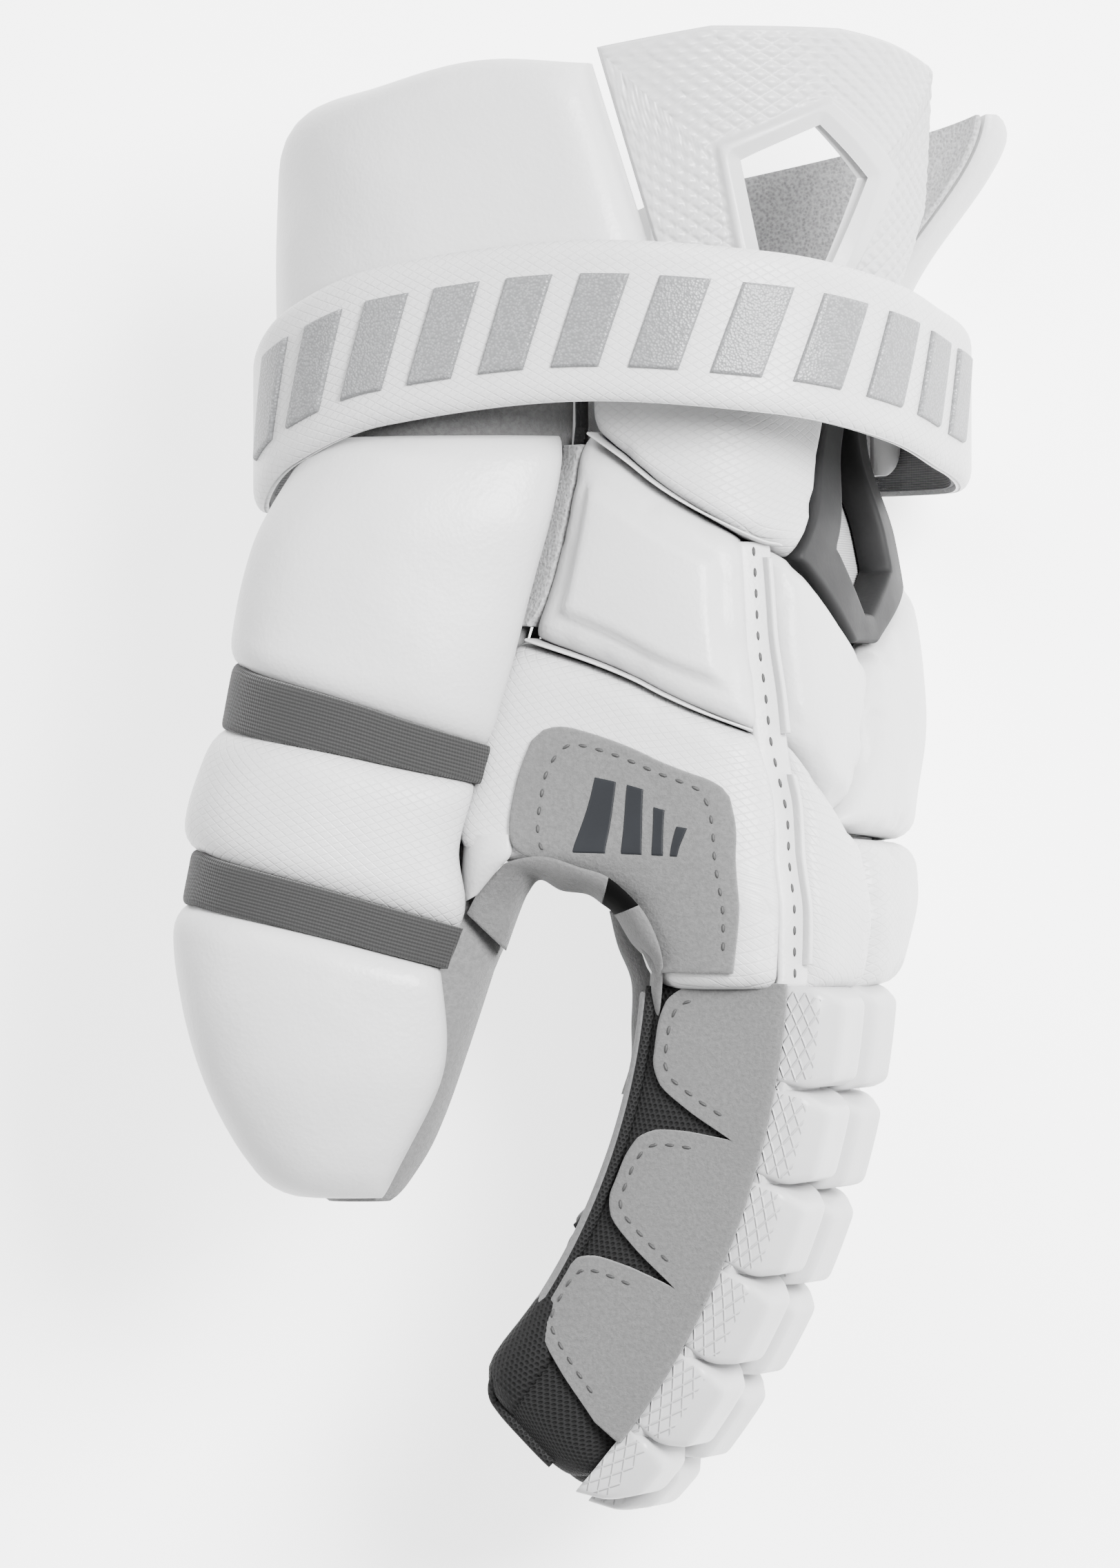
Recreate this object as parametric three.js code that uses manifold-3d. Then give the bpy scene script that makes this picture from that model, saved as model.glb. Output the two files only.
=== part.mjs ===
import * as THREE from "three";
import Module from "manifold-3d";
import { mergeVertices } from "three/addons/utils/BufferGeometryUtils.js";

// A lacrosse glove for a left hand, lying on its little finger side.
// Millimetres. +X out of the back of the hand, +Y towards the cuff, +Z up, out of the thumb side.
// Y is zero level with the middle of the hand until the last lines set the origin.

const wasm = await Module();
wasm.setup();

// Hand
const HAND_LENGTH = 161;
const HAND_DEPTH = 54;
const HAND_WIDTH = 94;
const HAND_WALL = 1.8;
const KNUCKLE_Y = -46;
const WEB_REACH = 34;
const WEB_SPREAD = 26;
const KNUCKLE_ARCH = 17;

// Thumb
const THUMB_LENGTH = 206;
const THUMB_WIDTH = 60.4;
const THUMB_DEPTH = 41;
const THUMB_WALL = 1.8;
const THUMB_PAD = 8.5;
const BAND_SINK = 1.2;
const THUMB_TIP_WALL = 2;

// Fingers
const FINGER_WIDTH = 25;
const FINGER_DEPTH = 36;
const FINGER_WALL = 1.6;
const FINGER_GAP = 0.35;
const ROOT_GAP = 0.3;
const BLOCK_COUNT = 6;
const BLOCK_HEIGHT = 14;
const BLOCK_BEVEL = 3;
const BLOCK_GROOVE = 1.6;
const BLOCK_INSET = 0.3;
const TIP_BLOCK_SHARE = 0.8;
const ARMOUR_BASE = 3;

// Cuff
const CUFF_WIDTH = 144;
const CUFF_DEPTH = 106;
const CUFF_X = -21.2;
const CUFF_THUMB_PAD = 11.5;
const CUFF_PANEL = 10;
const CUFF_SHELL = 3.2;
const CUFF_RIM = 2.2;
const CUFF_BASE_Y = 76;
const CUFF_LENGTH = 103;
const FLEECE = 2.6;
const LEAN_IN = 9;
const LEAN_OUT = 20;

// Strap
const STRAP_WIDTH = 38;
const STRAP_THICKNESS = 3.8;
const STRAP_LINING = 0.9;
const STRAP_CLEARANCE = 0.3;
const STRAP_Y = 90;
const STRAP_RISE = 19;
const BAR_COUNT = 12;
const BAR_HEIGHT = 22;
const BAR_RELIEF = 1.2;

// Leather, suede and clearances
const HAND_PAD = 9.5;
const SUEDE = 1.4;
const BINDING = 1.8;
const SEAM_GAP = 0.9;
const WEB_GAP = 2.8;
const PALM_GAP = 2.6;
const THUMB_GAP = 1.8;
const BAND_GAP = 2.1;
const LAYER_GAP = 0.6;
const PAD_ROUND = 4.5;
const INSERT_DEPTH = 8;
const GUSSET_THICKNESS = 1.6;

// Opening in the plate on the back of the cuff, seen in the front view
const KITE_WIDTH = 30.4;
const KITE_HEIGHT = 47.8;
const KITE_X = -3;
const KITE_FOOT_Y = 108;

// The radial side is turned towards the front view by this angle.
const VIEW_TURN = THREE.MathUtils.degToRad(22);
const VIEW_ACROSS = new THREE.Vector3(Math.cos(VIEW_TURN), 0, -Math.sin(VIEW_TURN));
const VIEW_OUT = new THREE.Vector3(Math.sin(VIEW_TURN), 0, Math.cos(VIEW_TURN));

// Heights above the surface that the glove lies on
const HAND_LOW = HAND_PAD;
const STRAP_LOW = STRAP_THICKNESS;
const CUFF_LOW = STRAP_LOW + CUFF_PANEL + LAYER_GAP;

// Colours
const leather = new THREE.MeshStandardMaterial({ color: 0xeeeeee, roughness: 0.55, metalness: 0 });
const moulded = new THREE.MeshStandardMaterial({ color: 0xf2f2f2, roughness: 0.45, metalness: 0 });
const suede = new THREE.MeshStandardMaterial({ color: 0xb4b4b4, roughness: 0.95, metalness: 0 });
const mesh = new THREE.MeshStandardMaterial({ color: 0x4a4a4a, roughness: 0.9, metalness: 0 });
const elastic = new THREE.MeshStandardMaterial({ color: 0x808080, roughness: 0.9, metalness: 0 });
const lining = new THREE.MeshStandardMaterial({ color: 0xc4c4c4, roughness: 0.95, metalness: 0 });
const plastic = new THREE.MeshStandardMaterial({ color: 0x5c5c5c, roughness: 0.4, metalness: 0 });
const print = new THREE.MeshStandardMaterial({ color: 0xb8babc, roughness: 0.35, metalness: 0.2 });

// Sections of the hand, from the knuckles (at 0) to the wrist (at 1).
// palm and back are shares of HAND_DEPTH, low and high of HAND_WIDTH, web of WEB_REACH, arch of KNUCKLE_ARCH.
const HAND_SECTIONS = [
  { at: 0.0, palm: 0.09, back: 0.67, low: 0.0, high: 1.0, web: 0.0, arch: 1.0 },
  { at: 0.1, palm: -0.055, back: 0.69, low: 0.0, high: 1.0, web: 0.0, arch: 0.76 },
  { at: 0.15, palm: -0.15, back: 0.67, low: 0.0, high: 1.0, web: 0.4, arch: 0.6 },
  { at: 0.19, palm: -0.22, back: 0.65, low: 0.0, high: 1.0, web: 1.0, arch: 0.47 },
  { at: 0.285, palm: -0.35, back: 0.62, low: 0.0, high: 1.0, web: 0.79, arch: 0.24 },
  { at: 0.405, palm: -0.44, back: 0.61, low: 0.0, high: 0.99, web: 0.59, arch: 0.06 },
  { at: 0.52, palm: -0.5, back: 0.58, low: 0.02, high: 0.98, web: 0.29, arch: 0.0 },
  { at: 0.66, palm: -0.5, back: 0.52, low: 0.05, high: 0.96, web: 0.12, arch: 0.0 },
  { at: 0.795, palm: -0.5, back: 0.42, low: 0.125, high: 0.925, web: 0.0, arch: 0.0 },
  { at: 1.0, palm: -0.52, back: 0.38, low: 0.155, high: 0.9, web: 0.0, arch: 0.0 },
];

// Sections of the thumb, from its tip (at 0) to the cuff (at 1).
// lean is a share of THUMB_LENGTH, half of THUMB_WIDTH, sink and deep of THUMB_DEPTH.
const THUMB_SECTIONS = [
  { at: 0.0, lean: -0.136, half: 0.04, sink: 0.11, deep: 0.06 },
  { at: 0.015, lean: -0.136, half: 0.14, sink: 0.11, deep: 0.19 },
  { at: 0.044, lean: -0.137, half: 0.225, sink: 0.09, deep: 0.27 },
  { at: 0.085, lean: -0.138, half: 0.31, sink: 0.07, deep: 0.33 },
  { at: 0.177, lean: -0.14, half: 0.435, sink: 0.045, deep: 0.42 },
  { at: 0.279, lean: -0.136, half: 0.535, sink: 0.03, deep: 0.455 },
  { at: 0.35, lean: -0.127, half: 0.59, sink: 0.02, deep: 0.465 },
  { at: 0.427, lean: -0.139, half: 0.508, sink: 0.02, deep: 0.48 },
  { at: 0.537, lean: -0.119, half: 0.48, sink: 0.01, deep: 0.49 },
  { at: 0.665, lean: -0.087, half: 0.5, sink: 0.0, deep: 0.5 },
  { at: 0.777, lean: -0.056, half: 0.5, sink: 0.0, deep: 0.5 },
  { at: 0.906, lean: -0.013, half: 0.43, sink: 0.01, deep: 0.42 },
  { at: 1.0, lean: 0.0, half: 0.39, sink: 0.03, deep: 0.36 },
];

// Fingers from the index finger to the little one. root_x is a share of HAND_DEPTH from the palm face,
// start and end are the turns towards the palm in degrees, girth a share of FINGER_DEPTH.
const FINGERS = [
  { root_x: 0.81, length: 122, start: 4, end: 44, girth: 1.0, block: 1.0 },
  { root_x: 0.79, length: 128, start: 4, end: 47, girth: 1.0, block: 1.0 },
  { root_x: 0.64, length: 116, start: 6, end: 52, girth: 0.9, block: 0.82 },
  { root_x: 0.47, length: 94, start: 6, end: 55, girth: 0.8, block: 0.75 },
];

// Height of the strap's middle, round the wrist: a share of STRAP_RISE.
const STRAP_PATH = [
  { at: 0.0, rise: 0.0 },
  { at: 0.2, rise: -0.1 },
  { at: 0.3, rise: -0.26 },
  { at: 0.37, rise: 0.3 },
  { at: 0.43, rise: 0.74 },
  { at: 0.54, rise: 1.0 },
  { at: 0.63, rise: 0.84 },
  { at: 0.7, rise: 0.53 },
  { at: 0.76, rise: 0.22 },
  { at: 0.84, rise: 0.0 },
  { at: 1.0, rise: 0.0 },
];

const signedPower = (value, share) => Math.sign(value) * Math.abs(value) ** share;

const clamp01 = (value) => THREE.MathUtils.clamp(value, 0, 1);

const lerp = THREE.MathUtils.lerp;

// Smooth curve through one column of a table, with no overshoot between its rows.
function column(rows, key, at) {
  const last = rows.length - 1;
  const found = rows.findIndex((row) => row.at > at);
  const next = found < 0 ? last : Math.max(found, 1);
  const slope = (k) => (rows[k + 1][key] - rows[k][key]) / (rows[k + 1].at - rows[k].at);
  const tangent = (k) => {
    if (k === 0) return slope(0);
    if (k === last) return slope(last - 1);
    const before = slope(k - 1);
    const after = slope(k);
    return before * after <= 0 ? 0 : (2 * before * after) / (before + after);
  };
  const span = rows[next].at - rows[next - 1].at;
  const f = clamp01((at - rows[next - 1].at) / span);
  const g = 1 - f;
  const ends = rows[next - 1][key] * (1 + 2 * f) * g * g + rows[next][key] * f * f * (3 - 2 * f);
  const bends = span * tangent(next - 1) * f * g * g - span * tangent(next) * f * f * g;
  return ends + bends;
}

const SECTION_POINTS = 120;

// Rounded rectangle section in x and z: turn 0 is its lowest point, then the palm side, the top, the back.
// round is the share of the way round it, which a point keeps where the section is bent afterwards.
function roundedSection(centre, halfX, halfZ, squareness) {
  const points = [];
  for (let i = 0; i < SECTION_POINTS; i++) {
    const turn = (2 * Math.PI * i) / SECTION_POINTS;
    const x = centre.x - halfX * signedPower(Math.sin(turn), 2 / squareness);
    const z = centre.z - halfZ * signedPower(Math.cos(turn), 2 / squareness);
    points.push({ x, z, turn: (360 * i) / SECTION_POINTS });
  }
  let run = 0;
  points.forEach((point, i) => {
    const next = points[(i + 1) % SECTION_POINTS];
    point.round = run;
    run += Math.hypot(next.x - point.x, next.z - point.z);
  });
  for (const point of points) point.round /= run;
  return points;
}

const HAND_SQUARENESS = 3;
const WEB_TURN = 132;
const ARCH_TOP = 0.66;
const ARCH_POWER = 1.3;

function handSection(y) {
  const at = (y - KNUCKLE_Y) / HAND_LENGTH;
  const palm = HAND_DEPTH * column(HAND_SECTIONS, "palm", at);
  const back = HAND_DEPTH * column(HAND_SECTIONS, "back", at);
  const low = HAND_LOW + HAND_WIDTH * column(HAND_SECTIONS, "low", at);
  const high = HAND_LOW + HAND_WIDTH * column(HAND_SECTIONS, "high", at);
  const web = WEB_REACH * column(HAND_SECTIONS, "web", at);
  const arch = KNUCKLE_ARCH * column(HAND_SECTIONS, "arch", at);
  const centre = { x: (palm + back) / 2, z: (low + high) / 2 };
  const archTop = HAND_LOW + ARCH_TOP * HAND_WIDTH;
  return roundedSection(centre, (back - palm) / 2, (high - low) / 2, HAND_SQUARENESS).map(({ x, z, turn, round }) => {
    const reach = web * Math.exp(-(((turn - WEB_TURN) / WEB_SPREAD) ** 2));
    const webbed = { x: x - reach * VIEW_ACROSS.x, z: z - reach * VIEW_ACROSS.z };
    const share = clamp01((archTop - webbed.z) / (archTop - HAND_LOW));
    return { x: webbed.x - arch * share ** ARCH_POWER, z: webbed.z, round };
  });
}

// The thumb lies in front of the hand's palm corner, seen in the front view.
const THUMB_TOP_Y = 103;
const THUMB_TIP_Y = THUMB_TOP_Y - THUMB_LENGTH;
const THUMB_ACROSS = -81;
const THUMB_OUT = 72.4;
const THUMB_SQUARENESS = 2.5;

function thumbSection(y) {
  const at = (y - THUMB_TIP_Y) / THUMB_LENGTH;
  const across = THUMB_ACROSS + THUMB_LENGTH * column(THUMB_SECTIONS, "lean", at);
  const out = THUMB_OUT - THUMB_DEPTH * column(THUMB_SECTIONS, "sink", at);
  const half = THUMB_WIDTH * column(THUMB_SECTIONS, "half", at);
  const deep = THUMB_DEPTH * column(THUMB_SECTIONS, "deep", at);
  return roundedSection({ x: 0, z: 0 }, half, deep, THUMB_SQUARENESS).map(({ x, z, round }) => ({
    x: (across + x) * VIEW_ACROSS.x + (out + z) * VIEW_OUT.x,
    z: (across + x) * VIEW_ACROSS.z + (out + z) * VIEW_OUT.z,
    round,
  }));
}

const CUFF_SQUARENESS = 2.6;

function cuffSection() {
  const centre = { x: CUFF_X, z: CUFF_LOW + CUFF_DEPTH / 2 };
  return roundedSection(centre, CUFF_WIDTH / 2, CUFF_DEPTH / 2, CUFF_SQUARENESS);
}

// The strap's inner face clears the pads on the thumb side, the plate on the back and the panels below.
function strapSection() {
  const overPad = CUFF_THUMB_PAD + LAYER_GAP;
  const overPlate = CUFF_SHELL + CUFF_RIM + LAYER_GAP;
  const overPanel = CUFF_PANEL + LAYER_GAP;
  const left = CUFF_X - CUFF_WIDTH / 2 - overPad;
  const right = CUFF_X + CUFF_WIDTH / 2 + overPlate;
  const low = CUFF_LOW - overPanel;
  const high = CUFF_LOW + CUFF_DEPTH + overPad;
  const centre = { x: (left + right) / 2, z: (low + high) / 2 };
  return roundedSection(centre, (right - left) / 2, (high - low) / 2, CUFF_SQUARENESS);
}

// A surface wound round the Y axis: round is the share of the way round, lift the height above it.
function wound(sectionAt) {
  const kept = new Map();
  const sectionRun = (y) => {
    const name = y.toFixed(3);
    if (!kept.has(name)) {
      const points = sectionAt(y);
      const count = points.length;
      points.forEach((point, i) => {
        const before = points[(i + count - 1) % count];
        const after = points[(i + 1) % count];
        const length = Math.hypot(after.x - before.x, after.z - before.z);
        point.normal = { x: -(after.z - before.z) / length, z: (after.x - before.x) / length };
      });
      kept.set(name, points);
    }
    return kept.get(name);
  };
  return (round, y, lift) => {
    const points = sectionRun(y);
    const goal = ((round % 1) + 1) % 1;
    const found = points.findIndex((point) => point.round > goal);
    const b = found < 0 ? points[0] : points[found];
    const a = points[(found < 0 ? points.length : found) - 1];
    const f = (goal - a.round) / ((found < 0 ? 1 : b.round) - a.round);
    const x = lerp(a.x + lift * a.normal.x, b.x + lift * b.normal.x, f);
    const z = lerp(a.z + lift * a.normal.z, b.z + lift * b.normal.z, f);
    return new THREE.Vector3(x, y, z);
  };
}

// Leather that would reach below the surface that the glove lies on is flattened there.
function flattened(surface) {
  return (round, y, lift) => {
    const point = surface(round, y, lift);
    point.z = Math.max(point.z, 0);
    return point;
  };
}

const hand = flattened(wound(handSection));
const thumb = wound(thumbSection);
const cuff = wound(cuffSection);
const strapRing = flattened(wound(strapSection));

const handY = (at) => KNUCKLE_Y + at * HAND_LENGTH;
const thumbY = (at) => THUMB_TIP_Y + at * THUMB_LENGTH;
const cuffY = (at) => CUFF_BASE_Y + at * CUFF_LENGTH;

const onHand = (round, at, lift) => hand(round, handY(at), lift);
const onThumb = (round, at, lift) => thumb(round, thumbY(at), lift);
const onCuff = (round, at, lift) => cuff(round, cuffY(at), lift);

// The little finger side panel leans outwards above the strap.
const LEAN_FROM = 0.33;
const LEAN_TO = 0.86;

function onLeaningPanel(round, at, lift) {
  const share = clamp01((at - LEAN_FROM) / (LEAN_TO - LEAN_FROM));
  const point = onCuff(round, at, lift);
  point.x += (LEAN_IN + LEAN_OUT) * share - LEAN_IN;
  return point;
}

const strapMiddle = (round) => STRAP_Y + STRAP_RISE * column(STRAP_PATH, "rise", ((round % 1) + 1) % 1);
const onStrap = (round, at, lift) => strapRing(round, strapMiddle(round) + at * STRAP_WIDTH, lift);

// Finger stalls: a section swept along an arc that curls towards the palm. sizeAt is where the rounding of
// the tip is taken from: inside the tip it is the end's own, so that the wall keeps its thickness.
const FINGER_PITCH = FINGER_WIDTH + FINGER_GAP;
const FINGER_ROUNDING = 9;
const FINGER_SQUARENESS = 3.6;
const FINGER_TIP_SHARE = 0.62;
const FIRST_FINGER_DROP = 9;
const ROOT_OFFSET = 0.6;

function fingerSurface(index) {
  const finger = FINGERS[index];
  const turnStart = THREE.MathUtils.degToRad(finger.start);
  const turnRate = THREE.MathUtils.degToRad(finger.end - finger.start) / finger.length;
  const depth = (FINGER_DEPTH * finger.girth) / 2;
  const palmAtKnuckles = HAND_DEPTH * HAND_SECTIONS[0].palm;
  const rootX = palmAtKnuckles + HAND_DEPTH * (finger.root_x - ROOT_OFFSET);
  const rootY = KNUCKLE_Y - ROOT_GAP - depth * Math.sin(turnStart);
  const middleZ = HAND_LOW + HAND_WIDTH - FIRST_FINGER_DROP - index * FINGER_PITCH;
  const unit = wound(() => roundedSection({ x: 0, z: 0 }, depth, FINGER_WIDTH / 2, FINGER_SQUARENESS));
  const place = (along, across, high) => {
    const turn = turnStart + turnRate * along;
    const x = rootX + (Math.cos(turn) - Math.cos(turnStart)) / turnRate + across * Math.cos(turn);
    const y = rootY - (Math.sin(turn) - Math.sin(turnStart)) / turnRate - across * Math.sin(turn);
    return new THREE.Vector3(x, y, middleZ + high);
  };
  const surface = (round, at, lift, sizeAt = at) => {
    const left = clamp01(((1 - sizeAt) * finger.length) / FINGER_ROUNDING);
    const round01 = Math.sqrt(1 - (1 - left) ** 2);
    const size = FINGER_TIP_SHARE + (1 - FINGER_TIP_SHARE) * round01;
    const raw = unit(round, 0, lift);
    return place(at * finger.length, raw.x * size, raw.z * size);
  };
  return { surface, place, depth, length: finger.length, middleZ };
}

// Closed body made of triangles. Faces are turned outwards at the end.
class Body {
  constructor() {
    this.corners = [];
  }

  triangle(a, b, c) {
    const area = new THREE.Triangle(a, b, c).getArea();
    if (area > 1e-7) this.corners.push(a, b, c);
  }

  quad(a, b, c, d) {
    this.triangle(a, b, c);
    this.triangle(a, c, d);
  }

  sheet(grid, closed, flipped) {
    for (let i = 0; i + 1 < grid.length; i++) {
      const count = grid[i].length;
      for (let j = 0; j < (closed ? count : count - 1); j++) {
        const k = (j + 1) % count;
        if (flipped) this.quad(grid[i][j], grid[i + 1][j], grid[i + 1][k], grid[i][k]);
        else this.quad(grid[i][j], grid[i][k], grid[i + 1][k], grid[i + 1][j]);
      }
    }
  }

  wall(upper, lower, closed) {
    const count = upper.length;
    for (let j = 0; j < (closed ? count : count - 1); j++) {
      const k = (j + 1) % count;
      this.quad(upper[j], lower[j], lower[k], upper[k]);
    }
  }

  lid(ring, flipped) {
    const middle = ring.reduce((sum, point) => sum.add(point), new THREE.Vector3()).divideScalar(ring.length);
    ring.forEach((point, j) => {
      const next = ring[(j + 1) % ring.length];
      if (flipped) this.triangle(middle, next, point);
      else this.triangle(middle, point, next);
    });
  }

  geometry() {
    const volume = (() => {
      let sum = 0;
      for (let i = 0; i < this.corners.length; i += 3) {
        const cross = this.corners[i + 1].clone().cross(this.corners[i + 2]);
        sum += this.corners[i].dot(cross);
      }
      return sum;
    })();
    const ordered = [];
    for (let i = 0; i < this.corners.length; i += 3) {
      const [a, b, c] = this.corners.slice(i, i + 3);
      if (volume > 0) ordered.push(a, b, c);
      else ordered.push(a, c, b);
    }
    return mergeVertices(new THREE.BufferGeometry().setFromPoints(ordered), 1e-4);
  }
}

// Tube with a wall, open at its first end, and closed at its last one where tipped.
function sleeve({ surface, ats, sides, wall, tipped = false, tipWall = 0 }) {
  const ring = (at, lift, sizeAt) =>
    Array.from({ length: sides }, (_, j) => surface(j / sides, at, lift, sizeAt));
  const outer = ats.map((at) => ring(at, 0, at));
  const inner = ats.map((at, i) => ring(tipped && i === ats.length - 1 ? at - tipWall : at, -wall, at));
  const body = new Body();
  body.sheet(outer, true, false);
  body.sheet(inner, true, true);
  body.wall(outer[0], inner[0], true);
  if (tipped) {
    body.lid(outer[outer.length - 1], false);
    body.lid(inner[inner.length - 1], true);
  } else {
    body.wall(inner[inner.length - 1], outer[outer.length - 1], true);
  }
  return body.geometry();
}

// Point of a rail, its control points evenly spaced along it.
function onRail(rail, share) {
  const place = share * (rail.length - 1);
  const i = Math.min(Math.floor(place), rail.length - 2);
  return [lerp(rail[i][0], rail[i + 1][0], place - i), lerp(rail[i][1], rail[i + 1][1], place - i)];
}

// Shares at which a pad is divided: one close to each end, so that its edge rounds off, and even ones between.
function divisions(count, size, rounding) {
  if (count === 0) return [0, 0.5, 1];
  const inset = Math.min(rounding / size, 0.3);
  const shares = [0];
  for (let i = 0; i <= count; i++) shares.push(lerp(inset, 1 - inset, i / count));
  shares.push(1);
  return shares;
}

// Closed pad over a patch of a surface. rails are lists of [round, at], from one side of it to the other.
// edge is the share of the thickness at the rim, crown the extra thickness in the middle.
function pad({ surface, rails, along, across, lift, thickness, edge = 0.45, crown = 0, rounding = PAD_ROUND }) {
  const spot = (f, g) => {
    const place = g * (rails.length - 1);
    const i = Math.min(Math.floor(place), rails.length - 2);
    const a = onRail(rails[i], f);
    const b = onRail(rails[i + 1], f);
    return [lerp(a[0], b[0], place - i), lerp(a[1], b[1], place - i)];
  };
  const point = (f, g, height) => surface(...spot(f, g), height);
  const length = point(0, 0.5, lift).distanceTo(point(0.5, 0.5, lift)) * 2;
  const width = point(0.5, 0, lift).distanceTo(point(0.5, 0.5, lift)) * 2;
  const rows = divisions(along, length, rounding);
  const columns = divisions(across, width, rounding);
  const rim = (shares, k) => k === 0 || k === shares.length - 1;
  const outer = rows.map((f, i) =>
    columns.map((g, j) => {
      const low = rim(rows, i) || rim(columns, j);
      const swell = crown * 16 * f * (1 - f) * g * (1 - g);
      return point(f, g, lift + (low ? edge * thickness : thickness + swell));
    }),
  );
  const inner = rows.map((f) => columns.map((g) => point(f, g, lift)));
  const body = new Body();
  body.sheet(outer, false, false);
  body.sheet(inner, false, true);
  body.wall(outer[0], inner[0], false);
  body.wall(inner[inner.length - 1], outer[outer.length - 1], false);
  body.wall(inner.map((row) => row[0]), outer.map((row) => row[0]), false);
  body.wall(outer.map((row) => row[row.length - 1]), inner.map((row) => row[row.length - 1]), false);
  return body.geometry();
}

// Solids for cutting and joining
function toSolid(geometry) {
  const bare = geometry.clone();
  bare.deleteAttribute("normal");
  bare.deleteAttribute("uv");
  const merged = mergeVertices(bare, 1e-4);
  const vertProperties = new Float32Array(merged.attributes.position.array);
  const triVerts = new Uint32Array(merged.index.array);
  return new wasm.Manifold(new wasm.Mesh({ numProp: 3, vertProperties, triVerts }));
}

function toGeometry(solid) {
  const { vertProperties, triVerts } = solid.getMesh();
  const geometry = new THREE.BufferGeometry();
  geometry.setAttribute("position", new THREE.BufferAttribute(new Float32Array(vertProperties), 3));
  geometry.setIndex([...triVerts]);
  return geometry;
}

// Straight prism through the glove along the front view's line of sight, from an outline in that view.
const PRISM_NEAR = 150;
const PRISM_FAR = 20;

function viewPrism(outline) {
  const shape = new THREE.Shape(outline.map(([across, up]) => new THREE.Vector2(across, up)));
  const prism = new THREE.ExtrudeGeometry(shape, { depth: PRISM_NEAR - PRISM_FAR, bevelEnabled: false });
  prism.translate(0, 0, PRISM_FAR);
  prism.applyMatrix4(new THREE.Matrix4().makeBasis(VIEW_ACROSS, new THREE.Vector3(0, 1, 0), VIEW_OUT));
  return toSolid(prism);
}

const glove = new THREE.Group();

function piece(name, geometry, material) {
  const part = new THREE.Mesh(geometry, material);
  part.name = name;
  glove.add(part);
}

// Hand
const HAND_SIDES = 24;
const HAND_ATS = [0, 0.07, 0.12, 0.155, 0.19, 0.235, 0.3, 0.405, 0.53, 0.66, 0.8, 1];
piece("hand_body", sleeve({ surface: onHand, ats: HAND_ATS, sides: HAND_SIDES, wall: HAND_WALL }), lining);

const onHandPad = { surface: onHand, lift: SEAM_GAP, thickness: HAND_PAD };
const suedeOnHand = { surface: onHand, lift: WEB_GAP, thickness: SUEDE, edge: 1, rounding: 2 };

const HAND_PADS = [
  {
    name: "hand_pad_wrist",
    rails: [[[0.449, 0.95], [0.449, 0.815]], [[0.577, 0.95], [0.577, 0.662]], [[0.738, 0.95], [0.612, 0.637]]],
    along: 4, across: 5,
  },
  {
    name: "hand_pad_side",
    rails: [[[0.438, 0.8], [0.412, 0.52]], [[0.569, 0.645], [0.566, 0.375]]],
    along: 5, across: 4,
  },
  {
    name: "hand_pad_crook",
    rails: [
      [[0.405, 0.49], [0.405, 0.35], [0.407, 0.2], [0.424, 0.11], [0.434, 0.01]],
      [[0.566, 0.357], [0.57, 0.262], [0.556, 0.168], [0.542, 0.075], [0.53, 0.01]],
    ],
    along: 8, across: 5, lift: WEB_GAP,
  },
  {
    name: "hand_pad_back_upper",
    rails: [
      [[0.598, 0.632], [0.597, 0.36]],
      [[0.609, 0.616], [0.611, 0.32]],
      [[0.655, 0.535], [0.627, 0.278]],
      [[0.708, 0.455], [0.692, 0.385], [0.679, 0.31], [0.642, 0.238]],
    ],
    along: 6, across: 4,
  },
  {
    name: "hand_pad_back_lower",
    rails: [
      [[0.598, 0.345], [0.598, 0.26], [0.587, 0.17], [0.576, 0.08], [0.568, 0.01]],
      [[0.64, 0.224], [0.635, 0.15], [0.63, 0.08], [0.625, 0.01]],
      [[0.67, 0.2], [0.663, 0.14], [0.66, 0.07], [0.66, 0.01]],
    ],
    along: 6, across: 3,
  },
  {
    name: "hand_pad_outer_upper",
    rails: [
      [[0.722, 0.462], [0.706, 0.395], [0.694, 0.31], [0.656, 0.23]],
      [[0.757, 0.487], [0.735, 0.35], [0.7, 0.216]],
      [[0.845, 0.553], [0.815, 0.21]],
      [[0.93, 0.62], [0.93, 0.205]],
    ],
    along: 5, across: 6,
  },
  {
    name: "hand_pad_outer_lower",
    rails: [[[0.684, 0.2], [0.673, 0.1], [0.672, 0.01]], [[0.93, 0.19], [0.93, 0.1], [0.93, 0.01]]],
    along: 3, across: 6,
  },
  {
    name: "hand_pad_little_upper",
    rails: [[[0.936, 0.69], [0.936, 0.36]], [[1.12, 0.69], [1.12, 0.36]]],
    along: 3, across: 5,
  },
  {
    name: "hand_pad_little_lower",
    rails: [[[0.936, 0.35], [0.936, 0.01]], [[1.12, 0.35], [1.12, 0.01]]],
    along: 5, across: 5,
  },
];
for (const { name, ...shape } of HAND_PADS) piece(name, pad({ ...onHandPad, ...shape }), leather);

const STRIP_RAIL = [
  [0.577, 0.64], [0.575, 0.5], [0.574, 0.36], [0.577, 0.25], [0.566, 0.165], [0.554, 0.08], [0.543, 0.01],
];
const STRIP_SHARE = 0.018;
const stripFar = STRIP_RAIL.map(([round, at]) => [round + STRIP_SHARE, at]);
const strip = { ...onHandPad, rails: [STRIP_RAIL, stripFar], along: 9, across: 0, edge: 0.75, lift: 2 * SEAM_GAP };
piece("edge_strip", pad(strip), leather);

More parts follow.
